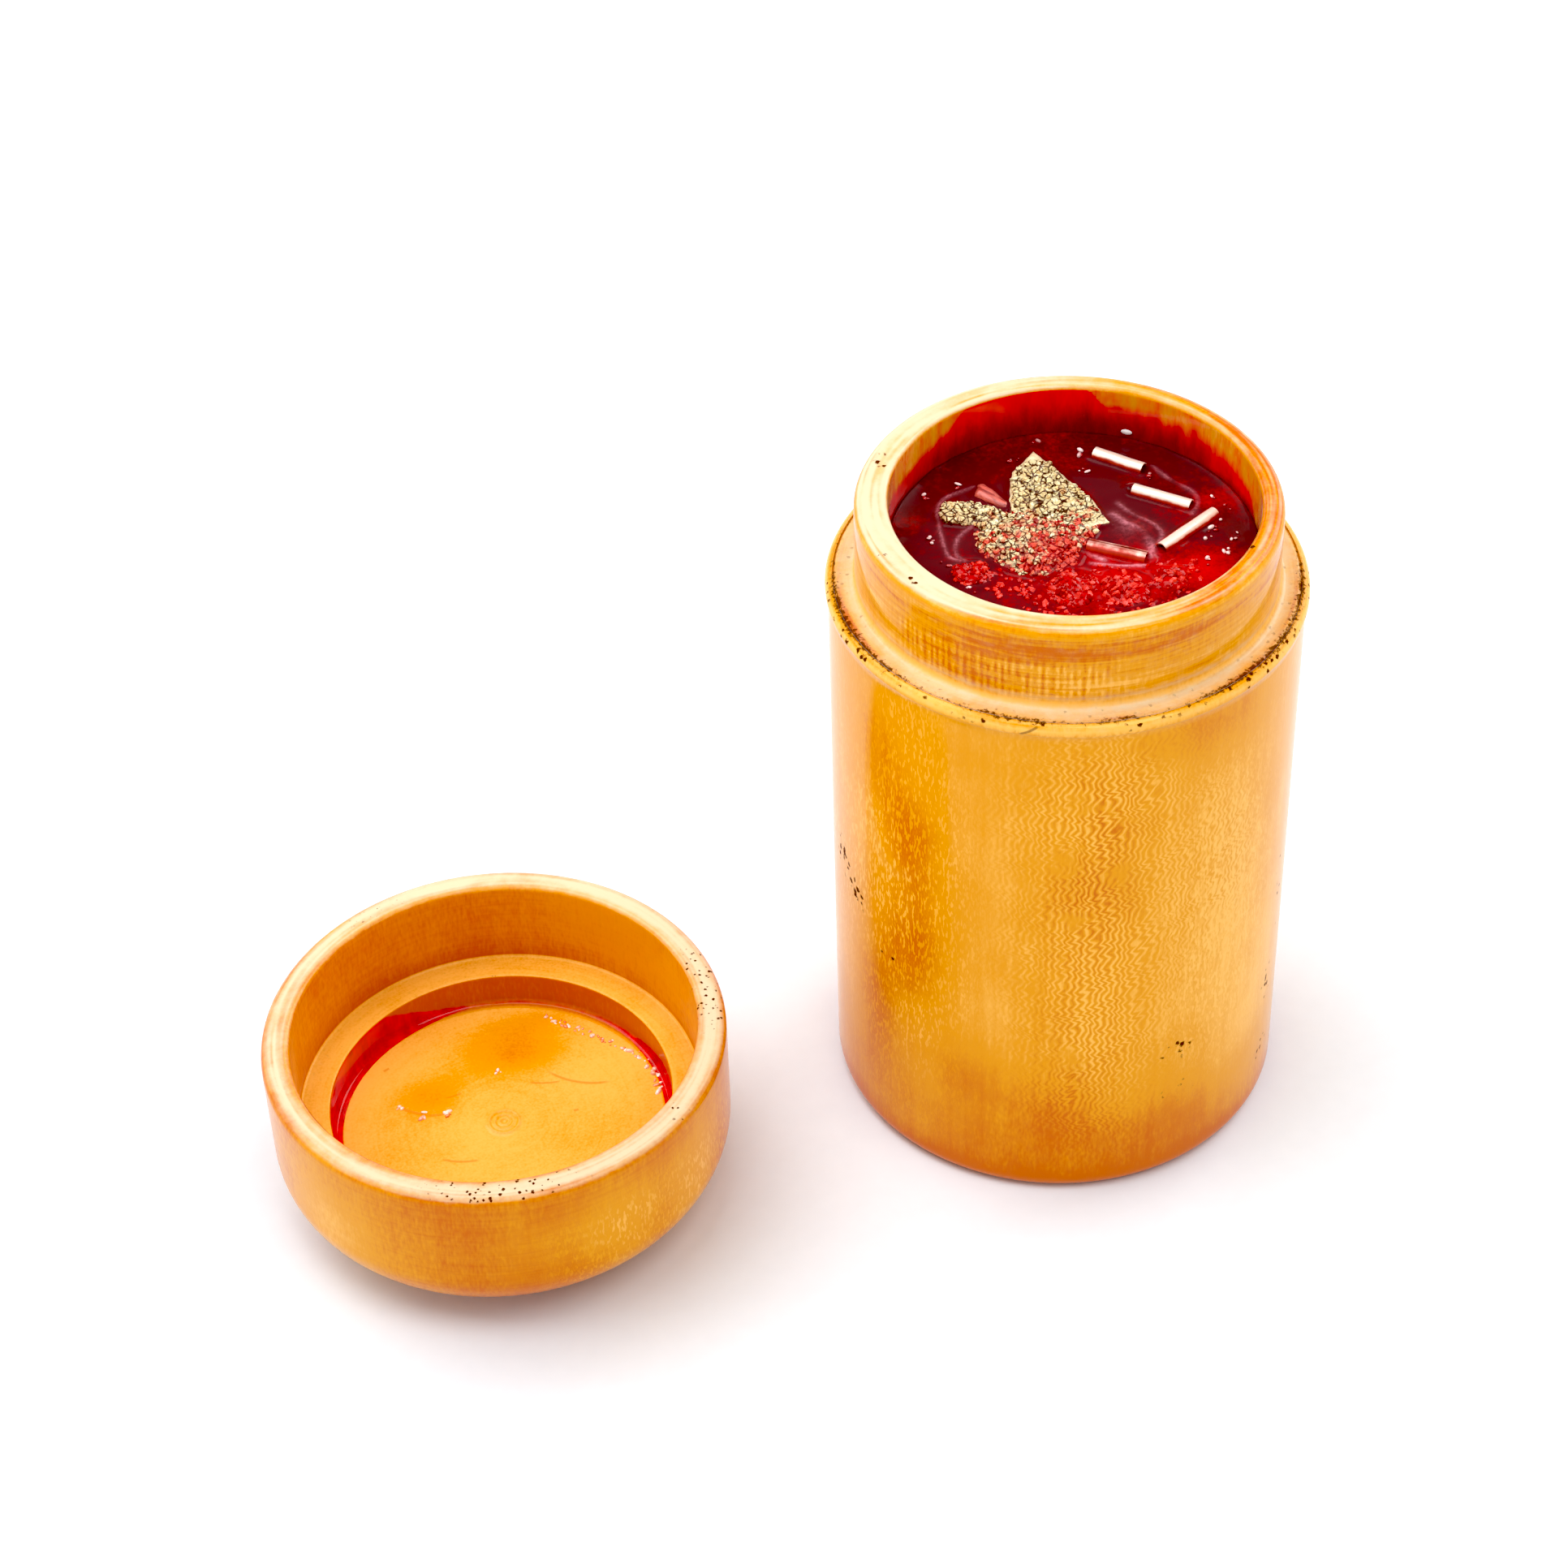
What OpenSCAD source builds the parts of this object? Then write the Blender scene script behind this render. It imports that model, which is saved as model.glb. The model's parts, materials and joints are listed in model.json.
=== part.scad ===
// Turned medicine jar with a slip lid, shown open: the lid stands upside down beside the jar,
// and the jar holds a dark balm with small rolled tubes, gilded chips and lumps of resin in it.
// The jar stands on z = 0 with its axis on Z, and the lid stands at -X on the same table.

/* [Jar] */
// Height from the table to the shoulder that the lid seats on
body_h = 54; // [40:0.5:80]
// Diameter of the body
body_d = 39.5; // [36:0.5:60]
// Rounding of the body's bottom edge
base_edge_r = 1.5; // [0.5:0.1:3]
// How far the bead at the shoulder stands out from the body
bead_out = 0.25; // [0.1:0.05:0.5]
// Rounding of the bead
bead_r = 0.7; // [0.6:0.05:1]
// Width of the shoulder, from the bead's edge to the neck
shoulder_w = 2.5; // [2:0.1:4]
// Rounding in the corner between shoulder and neck
cove_r = 0.6; // [0.2:0.1:0.8]
// Height of the neck above the shoulder
neck_h = 7.6; // [6:0.1:12]
// Wall of the neck
neck_wall = 2.3; // [1.8:0.1:4]
// Rounding of the neck's outer top edge
rim_r = 0.8; // [0.3:0.1:1]
// Rounding of the mouth's inner edge
mouth_edge_r = 0.4; // [0.1:0.1:0.6]
// How far the bore lies off the neck's axis
bore_shift = 0.5; // [0:0.1:0.8]
// Thickness of the jar's floor
floor_t = 6; // [3:0.5:12]
// Rounding of the bore's bottom corner
corner_r = 4; // [1:0.5:8]

/* [Lid] */
// How far the lid's wall stands out from the bead
lid_out = 0.1; // [0:0.05:0.5]
// Radial clearance of the slip fit between neck and lid
fit_gap = 0.1; // [0.06:0.01:0.3]
// Room left above the neck's rim when the lid is on
seat_gap = 0.9; // [0.3:0.1:2]
// Width of the ledge inside the lid
ledge_w = 2.6; // [1:0.1:4]
// Depth of the recess below the ledge
recess_h = 3.3; // [1:0.1:5]
// Rounding of the recess's bottom corner
recess_r = 0.5; // [0.2:0.1:0.9]
// Thickness of the crown at its middle
crown_t = 5.7; // [4:0.1:9]
// Rounding of the crown's edge
crown_edge_r = 5; // [3:0.1:7]
// How much the crown's dome rises inside its rounded edge
crown_rise = 2.5; // [1:0.1:3.5]
// Rounding of the lid's outer rim edge
lid_edge_r = 0.6; // [0.2:0.1:0.9]
// Rounding of the socket's inner rim edge
socket_edge_r = 0.3; // [0.1:0.1:0.8]
// Space left between jar and lid on the table
lid_apart = 11.7; // [8:0.1:30]

/* [Contents] */
// How far the balm's surface lies below the rim
fill_drop = 4.9; // [4.9:0.1:12]
// Gap between the balm and what it touches
film_gap = 0.04; // [0.02:0.01:0.1]
// Diameter of a rolled tube
tube_d = 1.4; // [1:0.1:1.8]
// Wall of a rolled tube
tube_wall = 0.25; // [0.15:0.05:0.4]
// How far a tube or a lump stands out of the balm
float_h = 0.75; // [0.4:0.05:0.8]
// Thickness of the gilded chips and of the bark chip
chip_t = 0.5; // [0.3:0.1:0.8]
// Length of the long gilded chip
long_chip_l = 6.4; // [4:0.1:7]
// Width of the long gilded chip
long_chip_w = 2; // [1:0.1:2.4]
// Length of the bark chip
bark_l = 3; // [2:0.1:3.4]
// Width of the bark chip
bark_w = 1.3; // [0.8:0.1:1.5]
// Height of the gilded paste above the balm
paste_h = 0.7; // [0.3:0.1:0.8]

/* [Hidden] */
$fn = 96;
arc_steps = 10;
cut = 1;
body_r = body_d / 2;
bead_edge = body_r + bead_out;
neck_r = bead_edge - shoulder_w;
mouth_r = neck_r - neck_wall;
jar_h = body_h + neck_h;
balm_z = jar_h - fill_drop;
lid_r = bead_edge + lid_out;
socket_r = neck_r + fit_gap;
socket_h = neck_h + seat_gap;
hollow_r = socket_r - ledge_w;
hollow_h = socket_h + recess_h;
lid_h = hollow_h + crown_t;
lid_x = -(bead_edge + lid_r + lid_apart);
tube_r = tube_d / 2;
tube_z = balm_z + float_h - tube_r;
// The dome runs on from the rounded edge without a corner
crown_flat = lid_r - crown_edge_r;
dome_r = (pow(crown_rise, 2) + pow(crown_flat, 2)) / (2 * crown_rise) + crown_edge_r;
dome_a = asin(crown_flat / (dome_r - crown_edge_r));
// Places on the balm are in shares of the mouth's radius, from the middle of the mouth
// Tubes: middle, turn and length
tubes = [
    [[0.50, 0.60], -49, 4.6],
    [[0.60, 0.21], -45, 5.2],
    [[0.62, -0.11], 27, 6.6],
    [[0.19, -0.16], -39, 5.0]
];
// Lumps: middle and radius
lumps = [
    [[-0.14, -0.38], 1.7],
    [[0.11, -0.47], 1.7],
    [[-0.60, -0.08], 1.1],
    [[0.37, -0.48], 1.2]
];
// Heaps of the gilded paste: middle and radius where it lies on the balm
heaps = [
    [[-0.29, -0.03], 2.5],
    [[-0.13, -0.15], 1.9]
];
corner_chip = [[0.08, 0.81], [-0.20, 0.45], [0.27, 0.10]];
long_chip_at = [-0.43, 0.36];
long_chip_a = -41;
bark_at = [-0.31, 0.55];
bark_a = -62;

amber = [0.90, 0.62, 0.22];
gold = [0.86, 0.70, 0.36];
balm_red = [0.36, 0.03, 0.04];
lump_red = [0.62, 0.06, 0.06];
bark_brown = [0.45, 0.14, 0.12];

function arc(centre, r, from, to) = [
    for (i = [0 : arc_steps])
        let (a = from + (to - from) * i / arc_steps)
        centre + r * [cos(a), sin(a)]
];

function on_balm(share) = [bore_shift + share[0] * mouth_r, share[1] * mouth_r];

// Outer form of the jar: rounded foot, straight body, bead, shoulder, cove, neck and rim
function jar_outline() = concat(
    [[0, 0]],
    arc([body_r - base_edge_r, base_edge_r], base_edge_r, -90, 0),
    arc([bead_edge - bead_r, body_h - bead_r], bead_r, -acos((bead_r - bead_out) / bead_r), 90),
    arc([neck_r + cove_r, body_h + cove_r], cove_r, 270, 180),
    arc([neck_r - rim_r, jar_h - rim_r], rim_r, 0, 90),
    [[0, jar_h]]
);

// The bore from its rounded bottom corner up to a top, with an inset all round
function bore_outline(inset, bottom, top) = concat(
    [[0, bottom + inset]],
    arc([mouth_r - corner_r, bottom + corner_r], corner_r - inset, -90, 0),
    [[mouth_r - inset, top], [0, top]]
);

// What the rounded edge of the mouth takes away
function mouth_flare() = concat(
    [[0, jar_h - mouth_edge_r]],
    arc([mouth_r + mouth_edge_r, jar_h - mouth_edge_r], mouth_edge_r, 180, 90),
    [[mouth_r + mouth_edge_r, jar_h + cut], [0, jar_h + cut]]
);

// The lid upside down: dome on the table, rounded edge, wall, rim, socket, ledge and recess
function lid_outline() = concat(
    arc([0, dome_r], dome_r, -90, dome_a - 90),
    arc([crown_flat, crown_rise + crown_edge_r], crown_edge_r, dome_a - 90, 0),
    arc([lid_r - lid_edge_r, lid_h - lid_edge_r], lid_edge_r, 0, 90),
    arc([socket_r + socket_edge_r, lid_h - socket_edge_r], socket_edge_r, 90, 180),
    [[socket_r, lid_h - socket_h], [hollow_r, lid_h - socket_h]],
    arc([hollow_r - recess_r, crown_t + recess_r], recess_r, 0, -90),
    [[0, crown_t]]
);

module jar_body() {
    color(amber)
    difference() {
        rotate_extrude() polygon(jar_outline());
        translate([bore_shift, 0, 0]) rotate_extrude() polygon(bore_outline(0, floor_t, jar_h));
        translate([bore_shift, 0, 0]) rotate_extrude() polygon(mouth_flare());
    }
}

module lid() {
    color(amber)
    translate([lid_x, 0, 0]) rotate_extrude() polygon(lid_outline());
}

module rod(row, r, length) {
    at = on_balm(row[0]);
    translate([at[0], at[1], tube_z]) rotate([0, 90, row[1]]) cylinder(r = r, h = length, center = true);
}

module tube(number) {
    row = tubes[number - 1];
    color(gold)
    difference() {
        rod(row, tube_r, row[2]);
        rod(row, tube_r - tube_wall, row[2] + cut);
    }
}

module ball(row, grow) {
    at = on_balm(row[0]);
    translate([at[0], at[1], balm_z + float_h - row[1]]) sphere(r = row[1] + grow);
}

module lump(number) {
    color(lump_red) ball(lumps[number - 1], 0);
}

// The balm stands on the jar's floor and leaves a pocket for all that lies in it
module balm() {
    color(balm_red)
    difference() {
        translate([bore_shift, 0, 0]) rotate_extrude() polygon(bore_outline(film_gap, floor_t - film_gap, balm_z));
        for (row = tubes) rod(row, tube_r + film_gap, row[2] + 2 * film_gap);
        for (row = lumps) ball(row, film_gap);
    }
}

module corner_chip() {
    color(gold)
    translate([0, 0, balm_z]) linear_extrude(chip_t) polygon([for (share = corner_chip) on_balm(share)]);
}

module strip(share, turn, length, width) {
    at = on_balm(share);
    translate([at[0], at[1], balm_z + chip_t / 2]) rotate([0, 0, turn]) cube([length, width, chip_t], center = true);
}

module long_chip() {
    color(gold) strip(long_chip_at, long_chip_a, long_chip_l, long_chip_w);
}

module bark_chip() {
    color(bark_brown) strip(bark_at, bark_a, bark_l, bark_w);
}

// A heap is the top of a ball that the balm's surface cuts off
module heap(row) {
    at = on_balm(row[0]);
    heap_r = (pow(row[1], 2) + pow(paste_h, 2)) / (2 * paste_h);
    intersection() {
        translate([at[0], at[1], balm_z + paste_h - heap_r]) sphere(r = heap_r);
        translate([at[0], at[1], balm_z]) cylinder(r = 2 * row[1], h = 2 * paste_h);
    }
}

module gilded_paste() {
    color(gold) for (row = heaps) heap(row);
}

jar_body();
lid();
balm();
tube(1);  // tube_1
tube(2);  // tube_2
tube(3);  // tube_3
tube(4);  // tube_4
corner_chip();
long_chip();
bark_chip();
gilded_paste();
lump(1);  // lump_1
lump(2);  // lump_2
lump(3);  // lump_3
lump(4);  // lump_4
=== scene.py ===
import json
import math
import bmesh
import bpy
import numpy as np
from mathutils import Matrix, Vector, geometry, noise


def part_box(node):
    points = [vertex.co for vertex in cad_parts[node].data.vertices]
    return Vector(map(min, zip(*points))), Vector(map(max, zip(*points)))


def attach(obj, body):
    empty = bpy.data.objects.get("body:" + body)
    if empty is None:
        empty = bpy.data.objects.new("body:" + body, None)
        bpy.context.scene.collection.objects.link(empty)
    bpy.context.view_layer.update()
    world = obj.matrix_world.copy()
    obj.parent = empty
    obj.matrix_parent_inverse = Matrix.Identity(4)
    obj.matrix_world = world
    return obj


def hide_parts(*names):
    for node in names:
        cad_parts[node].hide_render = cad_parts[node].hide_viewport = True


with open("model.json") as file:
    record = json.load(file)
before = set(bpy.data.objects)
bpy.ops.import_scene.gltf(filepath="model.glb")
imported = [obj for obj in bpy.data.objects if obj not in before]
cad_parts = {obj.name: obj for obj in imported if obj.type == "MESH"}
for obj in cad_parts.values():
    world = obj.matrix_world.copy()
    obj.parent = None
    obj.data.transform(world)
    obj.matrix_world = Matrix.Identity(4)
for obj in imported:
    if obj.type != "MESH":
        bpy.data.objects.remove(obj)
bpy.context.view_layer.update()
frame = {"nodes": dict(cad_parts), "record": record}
mounts = {mount["name"]: mount for mount in frame["record"]["mounts"]}
mm = 0.001
fullTurn = 2 * math.pi
print("frame loaded with", len(frame["nodes"]), "nodes")

# Camera at the photograph's angle, in metres and degrees
viewpoint = {
    "eye": (-0.0881, -0.2200, 0.24075),
    "heading": 16.02,
    "tilt": 41.57,
    "roll": -2.14,
    "focalLength": 83.56,
    "sensor": 36,
    "nearest": 0.01,
}


def placeCamera():
    heading = math.radians(viewpoint["heading"])
    tilt = math.radians(viewpoint["tilt"])
    roll = math.radians(viewpoint["roll"])
    level = Vector((math.cos(heading), -math.sin(heading), 0))
    onward = Vector((math.sin(heading), math.cos(heading), 0))
    ahead = onward * math.cos(tilt) - Vector((0, 0, math.sin(tilt)))
    lift = level.cross(ahead)
    right = level * math.cos(roll) + lift * math.sin(roll)
    up = lift * math.cos(roll) - level * math.sin(roll)
    camera = bpy.data.objects.new("camera", bpy.data.cameras.new("camera"))
    camera.data.lens = viewpoint["focalLength"]
    camera.data.sensor_width = viewpoint["sensor"]
    camera.data.clip_start = viewpoint["nearest"]
    turned = Matrix((right, up, -ahead)).transposed().to_4x4()
    camera.matrix_world = Matrix.Translation(viewpoint["eye"]) @ turned
    bpy.context.scene.collection.objects.link(camera)
    bpy.context.scene.camera = camera


placeCamera()
print("camera placed")

# Sizes of the turned wood: what the frame gives, and the rest in millimetres as the solids have it
jarLow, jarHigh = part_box("jar_body")
lidLow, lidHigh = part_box("lid")
jar = {
    "beadRadius": jarHigh.x / mm,
    "height": jarHigh.z / mm,
    "neckRadius": mounts["neck"]["dims"]["r_mm"],
    "shoulder": 54.0,
    "beadOut": 0.25,
    "beadRound": 0.7,
    "footRound": 1.5,
    "coveRound": 0.6,
    "rimRound": 0.8,
    "mouthRadius": 15.2,
    "mouthRound": 0.4,
    "boreShift": 0.5,
    "floor": 6.0,
    "floorRound": 4.0,
    "grimeGroove": 0.7,       # from the bead's edge to the middle of the groove
    "grooveWidth": 0.34,
    "grooveDepth": 0.13,
    "segments": 288,
}
lid = {
    "middle": (lidLow.x + lidHigh.x) / 2 / mm,
    "radius": (lidHigh.x - lidLow.x) / 2 / mm,
    "height": lidHigh.z / mm,
    "socketRadius": mounts["lid_socket"]["dims"]["r_mm"],
    "socketDepth": 8.5,
    "ledge": 2.6,
    "recess": 3.3,
    "recessRound": 0.5,
    "ledgeRound": 0.25,
    "crownRound": 5.0,
    "crownRise": 2.5,
    "rimRound": 0.8,
    "socketRound": 0.45,
    "centreRings": (0.4, 0.85, 1.35),
    "ringHeight": 0.13,
    "ringWidth": 0.17,
    "segments": 256,
}
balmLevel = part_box("balm")[1].z / mm
facingJar = math.degrees(math.atan2(viewpoint["eye"][1], viewpoint["eye"][0]))
facingLid = math.degrees(math.atan2(viewpoint["eye"][1], viewpoint["eye"][0] - lid["middle"] * mm))


# Node trees: a value that can be added, multiplied and faded like a plain number
class Flow:
    def __init__(self, socket):
        self.socket = socket
        self.tree = socket.id_data

    def calc(self, operation, *others):
        return calc(self.tree, operation, self, *others)

    def __add__(self, other):
        return self.calc("ADD", other)

    def __sub__(self, other):
        return self.calc("SUBTRACT", other)

    def __rsub__(self, other):
        return calc(self.tree, "SUBTRACT", other, self)

    def __mul__(self, other):
        return self.calc("MULTIPLY", other)

    def __truediv__(self, other):
        return self.calc("DIVIDE", other)

    def orMore(self, other):
        return self.calc("MAXIMUM", other)

    def off(self, strength):
        return (self - 0.5) * strength      # noise lies about one half

    def fade(self, low, high):
        inputs = {"Value": self, "From Min": low, "From Max": high}
        return flow(self.tree, "ShaderNodeMapRange", inputs, "Result", interpolation_type="SMOOTHSTEP")

    def grains(self, perMm, detail=3.0, roughness=0.55):
        stretch = [count / mm for count in perMm]
        spread = flow(self.tree, "ShaderNodeMapping", {"Vector": self, "Scale": stretch})
        inputs = {"Vector": spread, "Scale": 1.0, "Detail": detail, "Roughness": roughness}
        return flow(self.tree, "ShaderNodeTexNoise", inputs)

    def cracks(self, perMm):
        inputs = {"Vector": self, "Scale": perMm / mm}
        return flow(self.tree, "ShaderNodeTexVoronoi", inputs, "Distance", feature="DISTANCE_TO_EDGE")

    def parts(self):
        return [Flow(socket) for socket in addNode(self.tree, "ShaderNodeSeparateXYZ", {0: self}).outputs]


def wire(value, socket):
    if isinstance(value, Flow):
        socket.id_data.links.new(value.socket, socket)
    else:
        socket.default_value = value


def addNode(tree, kind, inputs=None, **settings):
    node = tree.nodes.new(kind)
    for name, value in settings.items():
        setattr(node, name, value)
    for key, value in (inputs or {}).items():
        wire(value, node.inputs[key])
    return node


def flow(tree, kind, inputs=None, out=0, **settings):
    return Flow(addNode(tree, kind, inputs, **settings).outputs[out])


def flowsOf(node):
    return {socket.name: Flow(socket) for socket in node.outputs}


def calc(tree, operation, *values):
    return flow(tree, "ShaderNodeMath", dict(enumerate(values)), operation=operation)


def mixTint(amount, first, second):
    return flow(amount.tree, "ShaderNodeMix", {0: amount, 6: first, 7: second}, 2, data_type="RGBA")


def placeIn(tree, kind="Object"):
    return flow(tree, "ShaderNodeTexCoord", out=kind)


def pointAt(tree, *parts):
    return flow(tree, "ShaderNodeCombineXYZ", dict(enumerate(parts)))


def painted(tree, name):
    return flow(tree, "ShaderNodeAttribute", out="Fac", attribute_name=name)


def tint(red, green, blue):
    # linear values for levels from 0 to 255
    shares = [level / 255 for level in (red, green, blue)]
    linear = [share / 12.92 if share <= 0.04045 else ((share + 0.055) / 1.055) ** 2.4 for share in shares]
    return linear + [1.0]


def tints(*rows):
    return [tint(*row) for row in rows]


def effectGroup(name, inputs, outputs):
    group = bpy.data.node_groups.new(name, "ShaderNodeTree")
    for side, labels in (("INPUT", inputs), ("OUTPUT", outputs)):
        for label in labels:
            kind = "Color" if label.endswith(("Color", "Tint")) else "Float"
            socket = group.interface.new_socket(label, in_out=side, socket_type="NodeSocket" + kind)
            if side == "INPUT":
                socket.default_value = inputs[label]
    return group, flowsOf(group.nodes.new("NodeGroupInput")), group.nodes.new("NodeGroupOutput").inputs


def useGroup(tree, group, inputs):
    return flowsOf(addNode(tree, "ShaderNodeGroup", inputs, node_tree=group))


# Grain of the turned wood: mottled honey colours, light flecks, a zigzag figure, a hatch and turning rings
grain = {
    # noises, in grains per millimetre along x, y and z
    "fleck": (4.2, 4.2, 1.2),
    "streak": (1.3, 1.3, 0.07),
    "cloud": (0.15, 0.15, 0.11),
    "sway": (0.3, 0.3, 0.35),
    "shake": (0.9, 0.9, 0.5),
    "patches": (0.35, 0.35, 0.28),
    "drift": (0.5, 0.5, 0.04),
    "breaks": (1.5, 1.5, 1.3),
    "rings": (0.14, 0.14, 0.14),
    "zigzagStep": 0.62,       # from line to line, in millimetres
    "hatchStep": 0.74,
    "hatchDrift": 1.2,
    "ringStretch": 24.0,      # how much faster the rings' noise changes along the outline
    "strokeDepth": 0.7,
    "markDepth": 0.34,
    "ringDepth": 1.3,
    "tints": ((249, 186, 84), (228, 152, 16), (204, 103, 0)),
}


def makeTurnedGrain():
    pale, middle, deep = tints(*grain["tints"])
    group, source, sink = effectGroup("turnedGrain", {
        "Warm": 0.5, "Flecks": 0.0, "Figure": 0.0, "Hatch": 0.0, "Rings": 0.0, "Mottle": 1.0,
        "Pale Tint": pale, "Middle Tint": middle, "Deep Tint": deep,
    }, ("Color", "Height"))
    place = placeIn(group)
    across, along, _ = placeIn(group, "UV").parts()
    fleck = place.grains(grain["fleck"], 1.5)
    streak = place.grains(grain["streak"], 2.0)
    uneven = place.grains(grain["cloud"]).off(0.5) + streak.off(0.26) + fleck.off(0.5)
    strokes = fleck.fade(0.48, 0.64) * source["Flecks"]
    level = source["Warm"] + uneven * source["Mottle"] - strokes * grain["strokeDepth"]
    # zigzag lines: a line across the surface swings to and fro as it climbs
    sway = place.grains(grain["sway"], 1.0)
    shake = place.grains(grain["shake"], 2.0)
    climb = along * (1 / mm) + sway * 3.0
    swing = climb.calc("PINGPONG", 0.5) * (shake.fade(0.3, 0.7) * 0.4 + 0.5)
    lines = across * (1 / mm) + swing + (sway * 2.0 + shake * 0.3)
    wave = (lines * (fullTurn / grain["zigzagStep"])).calc("SINE")
    figure = wave * source["Figure"] * place.grains(grain["patches"], 2.0).fade(0.2, 0.5)
    # hatch: short lines along the axis
    shaken = across + place.grains(grain["drift"], 1.0) * (grain["hatchDrift"] * mm)
    wave = (shaken * (fullTurn / (grain["hatchStep"] * mm))).calc("SINE")
    marks = figure + wave * source["Hatch"] * place.grains(grain["breaks"]).fade(0.34, 0.6)
    # turning rings: noise that hardly changes round the axis
    x, y, _ = place.parts()
    lathe = pointAt(group, x, y, along * grain["ringStretch"])
    rings = lathe.grains(grain["rings"]).off(1.0) * source["Rings"]
    level = level + marks * grain["markDepth"] + rings * grain["ringDepth"]
    colour = mixTint(level.fade(0.0, 0.5), source["Pale Tint"], source["Middle Tint"])
    wire(mixTint(level.fade(0.5, 1.0), colour, source["Deep Tint"]), sink["Color"])
    wire(fleck * 0.4 + marks * -0.25 + rings, sink["Height"])
    return group


# Red oil that soaks into what it touches
oil = {
    "thin": (252, 22, 6),
    "thick": (134, 2, 10),
    "runs": (0.9, 0.9, 0.35),      # grains per millimetre along x, y and z
    "runny": 0.5,                  # how uneven its edge is
    "cloudy": 0.7,                 # how uneven its depth is
    "edge": (0.3, 0.62),
}


def oilTints(thin, thick):
    return {"Thin Tint": tint(*thin), "Thick Tint": tint(*thick)}


def makeOilStain():
    group, source, sink = effectGroup("oilStain", {
        "Color": tint(255, 255, 255), "Amount": 0.5, **oilTints(oil["thin"], oil["thick"]), "Depth": 0.5,
    }, ("Color", "Wet"))
    run = placeIn(group).grains(oil["runs"])
    wet = (source["Amount"] + run.off(oil["runny"])).fade(*oil["edge"])
    depth = source["Depth"] + run.off(oil["cloudy"])
    red = mixTint(depth.fade(0.0, 1.0), source["Thin Tint"], source["Thick Tint"])
    wire(mixTint(wet, source["Color"], red), sink["Color"])
    wire(wet, sink["Wet"])
    return group


# Wear from handling, with painted light in it: pale rubbed edges that also carry painted highlights, grime in
# the grooves that in one place is painted shadow, and small dark pits
wear = {
    "pale": (230, 208, 172),
    "grime": (92, 40, 4),
    "rub": (0.8, 0.8, 1.4),        # grains per millimetre along x, y and z
    "soil": (2.4, 2.4, 3.0),
    "grimeCover": 0.88,
    "pitGrowth": 0.16,
    "depth": 0.6,
}


def makeHandWear():
    group, source, sink = effectGroup("handWear", {
        "Color": tint(255, 255, 255), "Pale": 0.0, "Grime": 0.0, "Pits": 0.0, "Pits Per Millimetre": 1.9,
        "Pale Tint": tint(*wear["pale"]), "Grime Tint": tint(*wear["grime"]),
    }, ("Color", "Dull", "Height"))
    place = placeIn(group)
    rub = place.grains(wear["rub"], 4.0, 0.65)
    soil = place.grains(wear["soil"], 4.0, 0.7)
    pale = (source["Pale"] + rub.off(0.55)).fade(0.1, 0.95)
    grime = (source["Grime"] + soil.off(2.2)).fade(0.44, 0.76) * source["Grime"].fade(0.04, 0.2)
    inputs = {"Vector": place, "Scale": source["Pits Per Millimetre"] * (1 / mm)}
    cell = flow(group, "ShaderNodeTexVoronoi", inputs, "Distance", feature="F1") + soil.off(-0.9)
    holes = (cell - source["Pits"] * wear["pitGrowth"]).fade(0.16, 0.04)
    pits = holes * source["Pits"].fade(0.1, 0.6)
    colour = mixTint(pale, source["Color"], source["Pale Tint"])
    colour = mixTint(grime * wear["grimeCover"], colour, source["Grime Tint"])
    wire(mixTint(pits, colour, source["Grime Tint"]), sink["Color"])
    wire(grime.orMore(pits), sink["Dull"])
    wire((grime + pits) * -wear["depth"], sink["Height"])
    return group


turnedGrain = makeTurnedGrain()
oilStain = makeOilStain()
handWear = makeHandWear()


def newFinish(name, shader):
    finish = bpy.data.materials.new(name)
    finish.use_nodes = True
    principled = finish.node_tree.nodes["Principled BSDF"].inputs
    for label, value in shader.items():
        principled[label].default_value = value
    return finish, finish.node_tree, principled


def addRelief(principled, height, strength, depth):
    inputs = {"Strength": strength, "Distance": depth * mm, "Height": height}
    wire(flow(height.tree, "ShaderNodeBump", inputs), principled["Normal"])


def scratchMask(coords, place, turnBy, length, width):
    # a short mark on the surface, found by turning the coordinates to lie along it
    inputs = {0: coords, 1: [part * mm for part in place]}
    shifted = flow(coords.tree, "ShaderNodeVectorMath", inputs, operation="SUBTRACT")
    inputs = {0: shifted, "Angle": -math.radians(turnBy)}
    along, across, _ = flow(coords.tree, "ShaderNodeVectorRotate", inputs, rotation_type="Z_AXIS").parts()
    bend = along * along * (0.08 / mm)
    ends = along.calc("ABSOLUTE").fade(length / 2 * mm, length / 3 * mm)
    return ends * (across - bend).calc("ABSOLUTE").fade(width * mm, width / 3 * mm)


boxwood = {
    "gloss": {
        "Specular IOR Level": 0.05, "Coat Roughness": 0.06, "Coat IOR": 1.35, "Sheen Roughness": 0.16,
    },
    "woodCoat": 0.6,
    "filmCoat": 0.9,
    "filmRoughness": 0.16,
    "dullRoughness": 0.6,
    "woodRoughness": 0.34,
    "scratchDepth": 0.6,
    "filmStart": 0.46,        # oil where the paint of the film is nought
    "relief": (0.2, 0.2),     # strength, and depth in millimetres
}


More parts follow.
